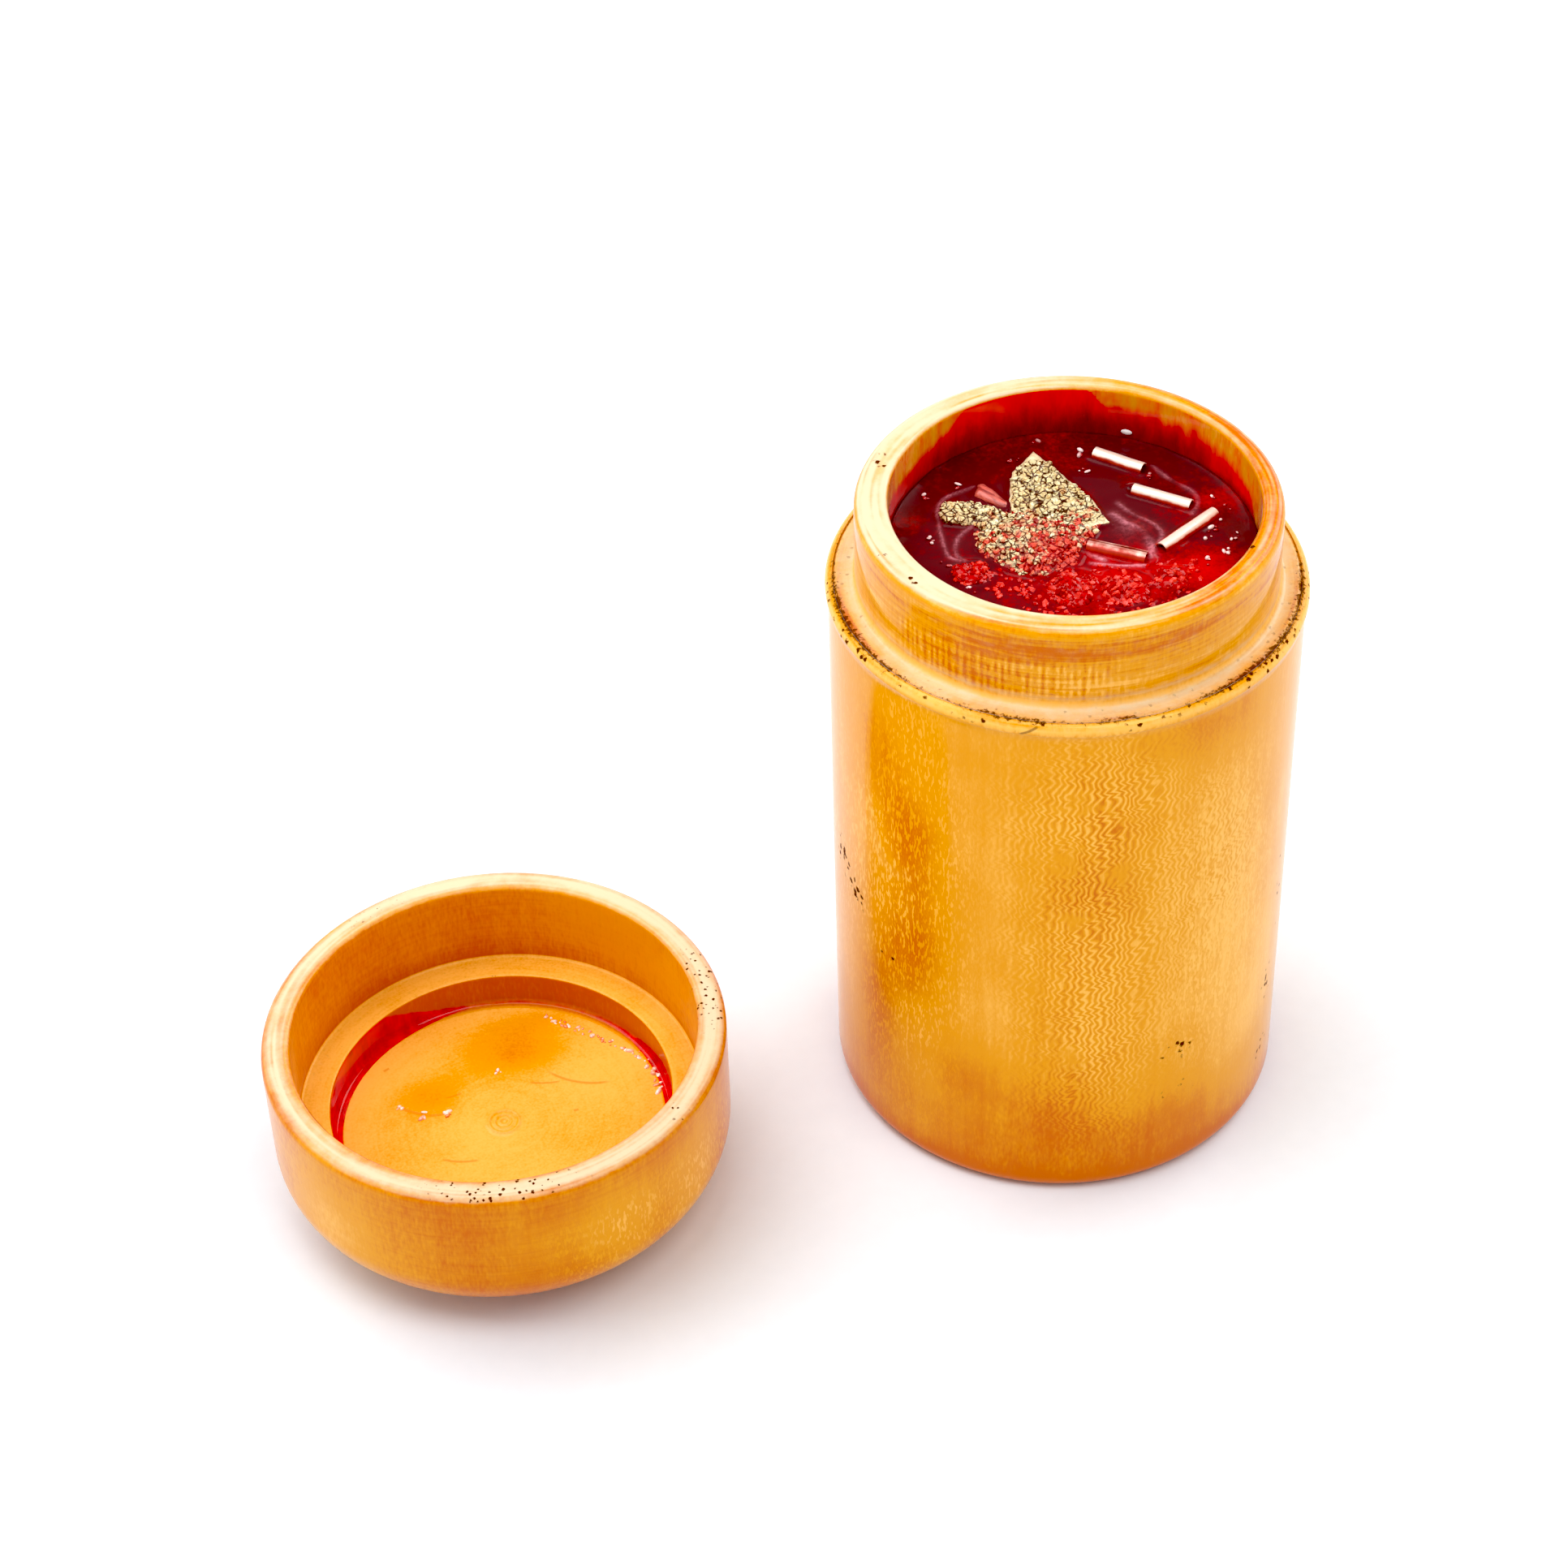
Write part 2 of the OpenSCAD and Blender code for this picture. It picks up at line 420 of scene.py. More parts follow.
def makeBoxwood(name, paint, scratches, coordinates):
    finish, tree, principled = newFinish(name, {**boxwood["gloss"], "Sheen Weight": paint["sheen"]})

    def masks(*names):
        return {label.capitalize(): painted(tree, label) for label in names}

    wood = useGroup(tree, turnedGrain, {
        **masks("warm", "flecks", "figure", "hatch", "rings"), "Mottle": paint["mottle"],
    })
    worn = useGroup(tree, handWear, {
        **masks("pale", "grime", "pits"), "Color": wood["Color"], "Pits Per Millimetre": paint["pitsPerMm"],
    })
    stain = useGroup(tree, oilStain, {
        **masks("depth"), "Color": worn["Color"], "Amount": painted(tree, "film") + boxwood["filmStart"],
    })
    coords = placeIn(tree, coordinates)
    scratched = scratchMask(coords, *scratches[0])
    for mark in scratches[1:]:
        scratched = scratched.orMore(scratchMask(coords, *mark))
    marked = mixTint(scratched * boxwood["scratchDepth"], stain["Color"], tint(*paint["scratchTint"]))
    wire(marked, principled["Base Color"])
    dull = worn["Dull"] * boxwood["dullRoughness"] + boxwood["woodRoughness"]
    drop = stain["Wet"] * (boxwood["filmRoughness"] - boxwood["woodRoughness"])
    wire(dull + drop, principled["Roughness"])
    coat = stain["Wet"] * (boxwood["filmCoat"] - boxwood["woodCoat"]) + boxwood["woodCoat"]
    wire(coat * (1.0 - worn["Dull"]), principled["Coat Weight"])
    addRelief(principled, wood["Height"] + worn["Height"] - scratched, *boxwood["relief"])
    return finish


# Geometry Nodes trees
def shapeTree(name, inputs):
    tree = bpy.data.node_groups.new(name, "GeometryNodeTree")
    kinds = {bool: "NodeSocketBool", int: "NodeSocketInt", float: "NodeSocketFloat"}
    tree.interface.new_socket("Geometry", in_out="INPUT", socket_type="NodeSocketGeometry")
    for label, value in inputs.items():
        socket = tree.interface.new_socket(label, in_out="INPUT", socket_type=kinds[type(value)])
        socket.default_value = value
    tree.interface.new_socket("Finish", in_out="INPUT", socket_type="NodeSocketMaterial")
    tree.interface.new_socket("Geometry", in_out="OUTPUT", socket_type="NodeSocketGeometry")
    return tree, flowsOf(tree.nodes.new("NodeGroupInput"))


def marking(tree, name):
    return flow(tree, "GeometryNodeInputNamedAttribute", {"Name": name}, data_type="FLOAT")


def stored(shape, name, value, domain, kind="FLOAT"):
    inputs = {"Geometry": shape, "Name": name, "Value": value}
    return flow(shape.tree, "GeometryNodeStoreNamedAttribute", inputs, data_type=kind, domain=domain)


def endTree(shape, finish, rounded=True):
    real = flow(shape.tree, "GeometryNodeRealizeInstances", {"Geometry": shape})
    smooth = flow(shape.tree, "GeometryNodeSetShadeSmooth", {"Geometry": real, "Shade Smooth": rounded})
    done = flow(shape.tree, "GeometryNodeSetMaterial", {"Geometry": smooth, "Material": finish})
    wire(done, shape.tree.nodes.new("NodeGroupOutput").inputs[0])


# Turning: every point of the outline goes round the axis, and bored points also move with the bore
def makeTurning():
    tree, source = shapeTree("turnedOnLathe", {
        "Segments": 256, "Start Angle": 0.0, "Bore Shift": 0.0, "Axis X": 0.0, "Girth": 0.12,
    })
    outline = source["Geometry"]
    size = addNode(tree, "GeometryNodeAttributeDomainSize", {"Geometry": outline}, component="MESH")
    rings = flowsOf(size)["Point Count"]
    inputs = {"Vertices X": source["Segments"] + 1.0, "Vertices Y": rings}
    grid = flow(tree, "GeometryNodeMeshGrid", inputs, "Mesh")
    index = flow(tree, "GeometryNodeInputIndex")
    ring = index.calc("MODULO", rings)
    share = (index / rings).calc("FLOOR") / source["Segments"]
    angle = share * fullTurn + source["Start Angle"]

    def onOutline(value, kind="FLOAT"):
        inputs = {"Geometry": outline, "Value": value, "Index": ring}
        return flow(tree, "GeometryNodeSampleIndex", inputs, data_type=kind, domain="POINT")

    radius, _, height = onOutline(flow(tree, "GeometryNodeInputPosition"), "FLOAT_VECTOR").parts()
    bored = onOutline(marking(tree, "bored"))
    x = radius * angle.calc("COSINE") + (bored * source["Bore Shift"] + source["Axis X"])
    turned = pointAt(tree, x, radius * angle.calc("SINE"), height)
    flat = pointAt(tree, share * source["Girth"], onOutline(marking(tree, "run")))
    keep = tree.nodes.new("GeometryNodeCaptureAttribute")
    keep.capture_items.new("VECTOR", "flat")
    keep.capture_items.new("FLOAT", "bored")
    for number, value in enumerate((grid, flat, bored)):
        wire(value, keep.inputs[number])
    kept, flat, bored = (Flow(keep.outputs[number]) for number in range(3))
    shaped = flow(tree, "GeometryNodeSetPosition", {"Geometry": kept, "Position": turned})
    shaped = stored(shaped, "UVMap", flat, "CORNER", "FLOAT2")
    shaped = stored(shaped, "bored", bored, "POINT")
    closed = flow(tree, "GeometryNodeMergeByDistance", {"Geometry": shaped, "Distance": 0.001 * mm})
    endTree(closed, source["Finish"])
    return tree


# Scattering: granules over a carrier's upper side, each with its own size and tone
def makeScatter():
    tree, source = shapeTree("granulesOnCarrier", {
        "Density": 1e6, "Smallest": 0.2 * mm, "Largest": 0.4 * mm, "Lowest Facing": -0.1,
        "Keep Carrier": True, "Faceted": True, "Seed": 1,
    })
    facing = flow(tree, "GeometryNodeInputNormal").parts()[2]
    facing = facing - marking(tree, "bare") * 9.0     # nothing lies where it is bare
    inputs = {"A": facing, "B": source["Lowest Facing"]}
    upper = flow(tree, "FunctionNodeCompare", inputs, operation="GREATER_THAN")
    inputs = {
        "Mesh": source["Geometry"], "Selection": upper, "Density": source["Density"], "Seed": source["Seed"],
    }
    spread = flowsOf(addNode(tree, "GeometryNodeDistributePointsOnFaces", inputs, distribute_method="RANDOM"))
    inputs = {"Radius": 1.0, "Subdivisions": 2.0 - source["Faceted"]}
    shape = flow(tree, "GeometryNodeMeshIcoSphere", inputs, "Mesh")

    def chance(low, high, step, kind="FLOAT"):
        node = addNode(tree, "FunctionNodeRandomValue", {"Seed": source["Seed"] + step}, data_type=kind)
        bounds = [socket for socket in node.inputs if socket.enabled]
        wire(low, bounds[0])
        wire(high, bounds[1])
        return Flow([socket for socket in node.outputs if socket.enabled][0])

    size = chance(source["Smallest"], source["Largest"], 1)
    scale = pointAt(tree, size * chance(0.8, 2.0, 2), size, size * chance(0.5, 1.1, 5))
    tilt = chance((-0.35, -0.35, -3.1), (0.35, 0.35, 3.1), 3, "FLOAT_VECTOR")
    inputs = {"Points": spread["Points"], "Instance": shape, "Rotation": spread["Rotation"], "Scale": scale}
    dots = flow(tree, "GeometryNodeInstanceOnPoints", inputs)
    dots = flow(tree, "GeometryNodeRotateInstances", {"Instances": dots, "Rotation": tilt})
    dots = stored(dots, "tone", chance(0.0, 1.0, 4), "INSTANCE")
    dots = stored(dots, "under", 0.0, "INSTANCE")
    inputs = {"Switch": source["Keep Carrier"], "True": source["Geometry"]}
    carrier = flow(tree, "GeometryNodeSwitch", inputs, input_type="GEOMETRY")
    both = tree.nodes.new("GeometryNodeJoinGeometry")
    wire(carrier, both.inputs[0])
    wire(dots, both.inputs[0])
    endTree(Flow(both.outputs[0]), source["Finish"], 1.0 - source["Faceted"])
    return tree


turning = makeTurning()
granules = makeScatter()


def addObject(name, mesh):
    piece = bpy.data.objects.new(name, mesh)
    bpy.context.scene.collection.objects.link(piece)
    return piece


def growMesh(carrier, tree, values):
    modifier = carrier.modifiers.new(tree.name, "NODES")
    modifier.node_group = tree
    labels = {item.name: item.identifier for item in tree.interface.items_tree if item.in_out == "INPUT"}
    for label, value in values.items():
        modifier[labels[label]] = value
    graph = bpy.context.evaluated_depsgraph_get()
    mesh = bpy.data.meshes.new_from_object(carrier.evaluated_get(graph))
    bpy.data.objects.remove(carrier)
    return mesh


def granuleValues(density, sizes, seed, finish):
    return {"Density": density, "Smallest": sizes[0], "Largest": sizes[1], "Seed": seed, "Finish": finish}


def finishPiece(name, mesh, body, slot, *nodes):
    mesh.name = name
    piece = addObject(name, mesh)
    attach(piece, body)
    if nodes:
        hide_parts(*nodes)


def newMesh(name, verts, faces=()):
    mesh = bpy.data.meshes.new(name)
    mesh.from_pydata(verts, [], faces)
    return mesh


def writeTo(mesh, work):
    work.to_mesh(mesh)
    work.free()
    return mesh


# Outlines for turning: stretches of (radius, height) points in millimetres, joined by straight runs
def arcPoints(centre, radius, start, end, count=9):
    angles = [math.radians(start + (end - start) * step / (count - 1)) for step in range(count)]
    return [(centre[0] + radius * math.cos(angle), centre[1] + radius * math.sin(angle)) for angle in angles]


def joinStretches(parts):
    outline = []
    for stretch, step in parts:
        if outline:
            first, last = outline[-1], stretch[0]
            count = max(1, round(math.dist(first, last) / step))
            for part in range(1, count):
                share = part / count
                outline.append(tuple(a + (b - a) * share for a, b in zip(first, last)))
        outline.extend(stretch)
    return outline


def boredOutline(outside, bored):
    # the flat rim between the two outlines goes over from the outer axis to the bore's
    rim = joinStretches([([outside[-1]], 1), ([bored[0]], 0.2)])[1:-1]
    over = [(step + 1) / (len(rim) + 1) for step in range(len(rim))]
    return outside + rim + bored, [0.0] * len(outside) + over + [1.0] * len(bored)


def turnedMesh(name, outline, bored, finish, segments, startAngle, axisX=0.0, boreShift=0.0):
    mesh = newMesh(name, [(radius * mm, 0, height * mm) for radius, height in outline])
    run = [0.0]
    for first, last in zip(outline, outline[1:]):
        run.append(run[-1] + math.dist(first, last) * mm)
    for label, values in (("run", run), ("bored", bored)):
        mesh.attributes.new(label, "FLOAT", "POINT").data.foreach_set("value", values)
    values = {
        "Segments": segments, "Start Angle": math.radians(startAngle), "Bore Shift": boreShift * mm,
        "Axis X": axisX * mm, "Girth": fullTurn * max(radius for radius, _ in outline) * mm, "Finish": finish,
    }
    return growMesh(addObject(name, mesh), turning, values)


def places(mesh):
    flat = np.empty(len(mesh.vertices) * 3, np.float32)
    mesh.vertices.foreach_get("co", flat)
    return flat.reshape(-1, 3) / mm


def moveTo(mesh, points):
    mesh.vertices.foreach_set("co", (points * mm).astype(np.float32).ravel())
    mesh.update()


def boredPart(mesh):
    values = np.empty(len(mesh.vertices), np.float32)
    mesh.attributes["bored"].data.foreach_get("value", values)
    return values


def paintMasks(mesh, masks):
    for label, values in masks.items():
        layer = mesh.attributes.get(label) or mesh.attributes.new(label, "FLOAT", "POINT")
        layer.data.foreach_set("value", np.broadcast_to(values, len(mesh.vertices)).astype(np.float32))


def hump(value, middle, width):
    return np.exp(-((value - middle) / width) ** 2)


def rise(value, low, high):
    share = np.clip((value - low) / (high - low), 0, 1)
    return share * share * (3 - 2 * share)


def between(value, low, high, soft):
    return rise(value, low - soft, low + soft) * (1 - rise(value, high - soft, high + soft))


def roundAngle(x, y, facing):
    # degrees from the side that faces the camera, growing to the right
    return (np.degrees(np.arctan2(y, x)) - facing + 180) % 360 - 180


def roundHump(angle, middle, width):
    # the same hump, going on across the seam at the back
    return hump((angle - middle + 180) % 360 - 180, 0, width)


def spots(angle, height, marks):
    result = np.zeros_like(angle)
    for middle, level, halfAngle, halfHeight, amount in marks:
        result += amount * roundHump(angle, middle, halfAngle) * hump(height, level, halfHeight)
    return result


def noiseAt(*coords):
    return np.array([noise.noise(Vector(place)) for place in zip(*np.broadcast_arrays(*coords))])


def latheNoise(angle, radius):
    # unevenness that runs round the axis
    turns = np.radians(angle)
    return noiseAt(2 * np.cos(turns), 2 * np.sin(turns), 4 * radius)


def farSide(bearing):
    # 1 on the side of the mouth that lies farthest from the camera
    return rise(np.cos(np.radians(bearing + viewpoint["heading"] - 90)), 0.2, 0.95)


# Paint on the jar: angles in degrees from the facing side, heights in millimetres, then half sizes and amount
jarPaint = {
    "sheen": 0.3,
    "mottle": 1.0,
    "pitsPerMm": 1.2,
    "scratchTint": (70, 30, 6),
    # warm: the bore's low value paints the wood inside paler, as painted light for the shaded hollow
    "warm": {"body": 0.44, "neck": 0.5, "shoulder": 0.16, "bore": 0.34},
    # pale: rub wear together with painted highlights on the shoulder and rim, and painted highlight lines at
    # the cove and on the bead
    "pale": {"shoulder": 0.62, "rim": 0.6, "cove": 0.35, "bead": 0.25},
    "stainStrength": 1.35,
    # stain patches with painted light among them: the darker band low at the front and the darker foot all
    # round are painted shade, and the paler band at -14 degrees and the paler patches at 45 and 60 degrees
    # are partly painted reflection
    "stains": [
        (-38, 38, 9, 7, 0.36), (-37, 25, 10, 6, 0.38), (-50, 17, 9, 8, 0.34), (-52, 46, 9, 6, 0.25),
        (-14, 32, 6, 22, -0.06), (12, 34, 12, 8, 0.08), (45, 28, 22, 14, -0.12), (60, 14, 16, 9, -0.12),
        (40, 51, 22, 3.5, 0.2), (0, 5, 90, 6, 0.3), (0, 0, 400, 2.4, 0.4), (-20, 13, 14, 4, 0.18),
        (2, 10, 8, 4, 0.15),
        (130, 30, 22, 16, 0.3), (-130, 34, 20, 18, -0.2), (175, 20, 24, 14, 0.2), (-95, 24, 14, 20, 0.15),
        (95, 40, 16, 10, 0.2),
    ],
    # darker and paler patches on the neck: a dark band where the rim rounds into the neck, and paler patches
    # on both sides
    "neckStains": [
        (0, 59.6, 200, 0.9, 0.22), (-60, 58, 18, 4, -0.14), (52, 58, 16, 4, -0.12), (-8, 59.6, 18, 0.8, 0.26),
        (30, 59.0, 16, 1.2, 0.2), (-30, 57, 16, 2, 0.22), (14, 56.2, 16, 1.2, -0.2),
    ],
    "flecks": [
        (-42, 30, 20, 24, 1.0), (44, 30, 22, 22, 0.55), (-95, 30, 24, 30, 0.7), (150, 30, 60, 30, 0.6),
    ],
    "figure": [
        (10, 46, 18, 7, 0.9), (9, 32, 17, 10, 0.9), (10, 17, 15, 9, 0.8), (42, 35, 12, 9, 0.6),
        (140, 30, 22, 18, 0.6),
    ],
    "specks": [
        (-69, 28, 4, 1.6, 1.9), (-61, 26, 5, 1.2, 2.0), (-46, 22, 3, 1.0, 1.2), (34, 15, 5, 1.2, 1.6),
        (34, 10, 4, 1.0, 1.6), (70, 6, 4, 1.0, 1.4), (70, 14, 3, 2.0, 1.2), (74, 24, 3, 5.0, 0.9),
        (120, 18, 6, 1.5, 1.3), (-150, 12, 6, 1.5, 1.3),
    ],
    # here a radius takes the place of the height
    "rimSpecks": [
        (-105, 16.0, 4, 0.5, 1.6), (-62, 16.6, 3, 0.4, 1.5),
        (-46, 16.4, 3, 0.4, 1.3), (70, 15.8, 4, 0.5, 1.3),
    ],
    # angle, half width and amount
    "grimeRuns": [
        (-64, 24, 0.95), (-12, 16, 0.6), (14, 8, 0.5), (52, 20, 0.9), (84, 16, 0.6), (180, 60, 0.5),
    ],
    # height of the oil film's upper edge on the bore, by direction from the mouth's middle
    "filmEdge": [
        (-180, 58.9), (-110, 60.2), (-50, 58.6), (-10, 57.2), (-4, 58.6), (10, 59.7), (42, 60.1), (60, 59.9),
        (65, 61.3), (106, 61.5), (111, 60.4), (119, 59.6), (137, 58.9), (149, 59.2), (180, 58.9),
    ],
    # how gradually the film ends there, in millimetres
    "filmSoftness": [
        (-180, 0.5), (-60, 0.25), (-20, 1.2), (30, 2.2), (58, 0.6), (64, 0.2), (104, 0.3), (114, 1.0),
        (150, 1.1), (180, 0.5),
    ],
    # place on the unrolled side, turn in degrees, length and width
    "scratch": [((60.2, 72.6, 0.0), 30, 1.9, 0.16)],
}


def jarOutline():
    bodyRadius = jar["beadRadius"] - jar["beadOut"]
    shoulder, top, bead, neck = jar["shoulder"], jar["height"], jar["beadRadius"], jar["neckRadius"]
    foot, cove, rim, mouth = jar["footRound"], jar["coveRound"], jar["rimRound"], jar["mouthRadius"]
    floor, hollow = jar["floor"], jar["floorRound"]
    under = math.degrees(math.acos((jar["beadRound"] - jar["beadOut"]) / jar["beadRound"]))
    beadCentre = (bead - jar["beadRound"], shoulder - jar["beadRound"])
    groove = bead - jar["grimeGroove"]
    half = jar["grooveWidth"] / 2
    bottom = ((1, 0), (0.5, 0.75), (0, 1), (-0.5, 0.75), (-1, 0))      # shares of the width and the depth
    dip = [(groove + side * half, shoulder - jar["grooveDepth"] * down) for side, down in bottom]
    outside = joinStretches([
        ([(0, 0)], 1),
        (arcPoints((bodyRadius - foot, foot), foot, -90, 0), 1.6),
        (arcPoints(beadCentre, jar["beadRound"], -under, 90, 11), 0.6),
        (dip, 0.2),
        (arcPoints((neck + cove, shoulder + cove), cove, 270, 180), 0.25),
        (arcPoints((neck - rim, top - rim), rim, 0, 90), 0.35),
    ])
    edge = jar["mouthRound"]
    bored = joinStretches([
        (arcPoints((mouth + edge, top - edge), edge, 90, 180), 0.2),
        ([(mouth, balmLevel - 1)], 0.22),
        (arcPoints((mouth - hollow, floor + hollow), hollow, 0, -90), 3),
        ([(0, floor)], 2),
    ])
    return boredOutline(outside, bored)


def makeJar():
    finish = makeBoxwood("polishedBoxwood", jarPaint, jarPaint["scratch"], "UV")
    outline, bored = jarOutline()
    mesh = turnedMesh(
        "turnedJar", outline, bored, finish, jar["segments"], facingJar + 180, boreShift=jar["boreShift"]
    )
    x, y, z = places(mesh).T
    inside = boredPart(mesh)
    outer = 1 - inside
    angle = roundAngle(x, y, facingJar)
    radius = np.hypot(x, y)
    bead, shoulder, top = jar["beadRadius"], jar["shoulder"], jar["height"]
    body = outer * rise(-z, -shoulder + 0.3, -shoulder + 1.2)
    neck = outer * rise(z, shoulder + 0.4, shoulder + 1.0)
    onShoulder = outer * rise(z, shoulder - 0.5, shoulder - 0.1)
    onShoulder *= rise(radius, jar["neckRadius"] - 0.2, jar["neckRadius"] + 0.4)
    onRim = rise(z, top - 0.4, top - 0.04)
    onBead = outer * hump(z, shoulder - 0.4, 0.5) * rise(radius, bead - 0.9, bead - 0.4)
    toRight = np.sin(np.radians(angle))
    uneven = latheNoise(angle, radius)
    streaks = np.clip(1.6 * latheNoise(angle + 70, radius), 0, 1)
    runs = sum(amount * roundHump(angle, middle, width) for middle, width, amount in jarPaint["grimeRuns"])
    tarnish = runs * hump(radius, bead - 1.0, 0.7)
    base = jarPaint["warm"]
    # the body's patches hold painted shade at the foot and partly painted reflection in the paler places
    warm = body * (base["body"] + jarPaint["stainStrength"] * spots(angle, z, jarPaint["stains"]))
    warm += neck * (base["neck"] + spots(angle, z, jarPaint["neckStains"]))
    # inside the bore the wood is painted paler, as painted light
    warm += onShoulder * (base["shoulder"] + 0.8 * tarnish + 0.4 * uneven) + inside * base["bore"]
    # painted light on the rim: darker amber towards the right here and, three lines on, paler towards the
    # left, a painted highlight over the rub wear
    warm += onRim * (0.45 * rise(toRight, 0.2, 1.0) + 0.15 * streaks)
    base = jarPaint["pale"]
    # the shoulder's pale band: rub wear and a painted highlight
    pale = onShoulder * (base["shoulder"] - 0.4 * tarnish) * rise(-radius, -bead + 0.5, -bead + 1.1)
    pale += onRim * (base["rim"] - 0.32 * toRight + 0.4 * uneven - 0.35 * streaks)
    # painted highlights: a pale line on the neck just above the cove, and one along the bead
    pale += base["cove"] * neck * hump(z, shoulder + 0.7, 0.5)
    pale += base["bead"] * hump(z, shoulder - 0.35, 0.3) * outer
    ring = hump(radius, bead - jar["grimeGroove"], 0.42)
    grime = onShoulder * (np.clip(runs, 0.3, 0.55) * ring + 0.3 * tarnish)
    grime += 0.35 * neck * hump(z, shoulder + 0.25, 0.2)
    bearing = np.degrees(np.arctan2(y, x - jar["boreShift"]))
    film = np.interp(bearing, *zip(*jarPaint["filmEdge"])) - z
    film *= 0.3 / np.interp(bearing, *zip(*jarPaint["filmSoftness"]))
    # painted shade: the film's red is painted darker deeper in the bore and on the side away from the camera
    depth = (0.1 + 0.75 * rise(-z, 0.6 - top, -balmLevel - 0.3)) * (0.25 + 0.75 * farSide(bearing))
    depth = np.maximum(depth, 0.75 * rise(-z, -balmLevel - 1.6, -balmLevel - 0.1))
    pits = spots(angle, z, jarPaint["specks"]) * body + 0.3 * onShoulder + onBead * runs
    pits += onRim * (0.1 + spots(angle, radius, jarPaint["rimSpecks"]))
    paintMasks(mesh, {
        "warm": warm,
        "pale": pale,
        "grime": grime,
        "pits": pits,
        "film": np.where((inside > 0.5) & (z < top - 0.3), np.clip(film, -0.06, 2.5), -1),
        "depth": depth,
        "figure": spots(angle, z, jarPaint["figure"]) * body,
        "flecks": np.clip(spots(angle, z, jarPaint["flecks"]), 0, 1) * body,
        "hatch": neck * between(angle, -48, 14, 10) * between(z, shoulder + 0.7, shoulder + 4.4, 0.6),
        "rings": 0.75 * neck + 0.05 * body + 0.6 * onRim + 0.8 * onShoulder,
    })
    finishPiece("turnedJar", mesh, "jar", "boxwood", "jar_body")


makeJar()
print("jar turned")

# Paint on the lid, in the same terms
lidPaint = {
    "sheen": 0.05,
    "mottle": 0.8,
    "pitsPerMm": 1.9,
    "scratchTint": (220, 128, 36),
    # the ledge's low value paints it paler, as painted light for the shade it lies in; ring paints shade at
    # the inner foot of each centre ring
    "warm": {"outside": 0.8, "wall": 0.72, "ledge": 0.16, "recess": 0.95, "floor": 0.12, "ring": 0.24},
    "crest": 0.84,            # how pale the middle of the rim is painted: rub wear and a painted highlight
    "filmDepth": 0.44,
    # patches on the outside; the paler patch on the left is a painted reflection
    "outside": [
        (24, 11, 14, 4, -0.3), (52, 10, 10, 5, -0.3), (-50, 9, 18, 7, -0.45), (0, 5, 26, 4, 0.12),
        (70, 6, 14, 4, 0.1), (140, 9, 30, 6, 0.2), (-140, 10, 26, 6, -0.15),
    ],
    "rimPits": [(-2, 18, 1.0), (96, 16, 0.9), (49, 3, 0.7), (-150, 12, 0.4)],
    # height of the oil film on the recess's wall, above the lid's floor
    "filmEdge": [
        (-180, 0.15), (-172, 0.2), (-163, 0.6), (-155, 1.4), (-148, 2.2), (-143, 2.9), (-138, 3.6),
        (-60, 3.8), (-40, 1.0), (-20, 0.0), (60, 0.0), (80, 1.2), (92, 1.8), (102, 1.4), (112, 0.9),
        (124, 0.4), (142, 0.15), (180, 0.15),
    ],
    # x and y from the lid's middle, half sizes along them and amount
    "floorPatches": [
        (2.6, 8.0, 5.0, 2.8, 0.6), (-5.6, 5.0, 3.0, 2.4, 0.5), (4.5, 11.0, 5.0, 1.6, 0.3),
        (7.0, -3.0, 5.0, 4.0, 0.14), (-9.0, -3.0, 3.0, 5.0, 0.12),
    ],
    "scratches": [
        ((-7.4, 3.7), -38, 3.6, 0.22), ((-5.5, 2.7), -12, 1.8, 0.2), ((-3.5, 4.5), 5, 1.6, 0.14),
        ((7.4, 2.6), -31, 6.4, 0.2), ((4.6, 3.4), -16, 3.0, 0.16), ((0.86, 6.1), 60, 0.8, 0.22),
        ((-8.5, 9.6), 20, 0.7, 0.2), ((6.4, -0.7), 0, 0.5, 0.2), ((-4.8, -3.4), -20, 3.6, 0.18),
    ],
}


def lidOutline():
    radius, top, edge, bulge = lid["radius"], lid["height"], lid["crownRound"], lid["crownRise"]
    flat = radius - edge
    dome = (bulge ** 2 + flat ** 2) / (2 * bulge) + edge     # runs into the rounded edge without a corner
    slope = math.degrees(math.asin(flat / (dome - edge)))
    socket = lid["socketRadius"]
    ledge = top - lid["socketDepth"]
    hollow = socket - lid["ledge"]
    floor = ledge - lid["recess"]
    lip, corner, worn, inner = lid["rimRound"], lid["recessRound"], lid["ledgeRound"], lid["socketRound"]
    outside = joinStretches([
        (arcPoints((0, dome), dome, -90, slope - 90, 20), 1),
        (arcPoints((flat, bulge + edge), edge, slope - 90, 0, 18), 1),
        (arcPoints((radius - lip, top - lip), lip, 0, 90), 0.6),
    ])
    rings = []
    for ring in sorted(lid["centreRings"], reverse=True):
        for side in (1, 0.5, 0, -0.5, -1):
            height = lid["ringHeight"] * math.cos(side * math.pi / 2) ** 2
            rings.append((ring + side * lid["ringWidth"], floor + height))
    hollowed = joinStretches([
        (arcPoints((socket + inner, top - inner), inner, 90, 180), 0.3),
        (arcPoints((socket - worn, ledge + worn), worn, 0, -90, 5), 0.4),
        (arcPoints((hollow + worn, ledge - worn), worn, 90, 180, 5), 0.3),
        (arcPoints((hollow - corner, floor + corner), corner, 0, -90), 0.25),
        (rings, 0.4),
        ([(0, floor)], 0.2),
    ])
    return *boredOutline(outside, hollowed), floor, ledge, hollow


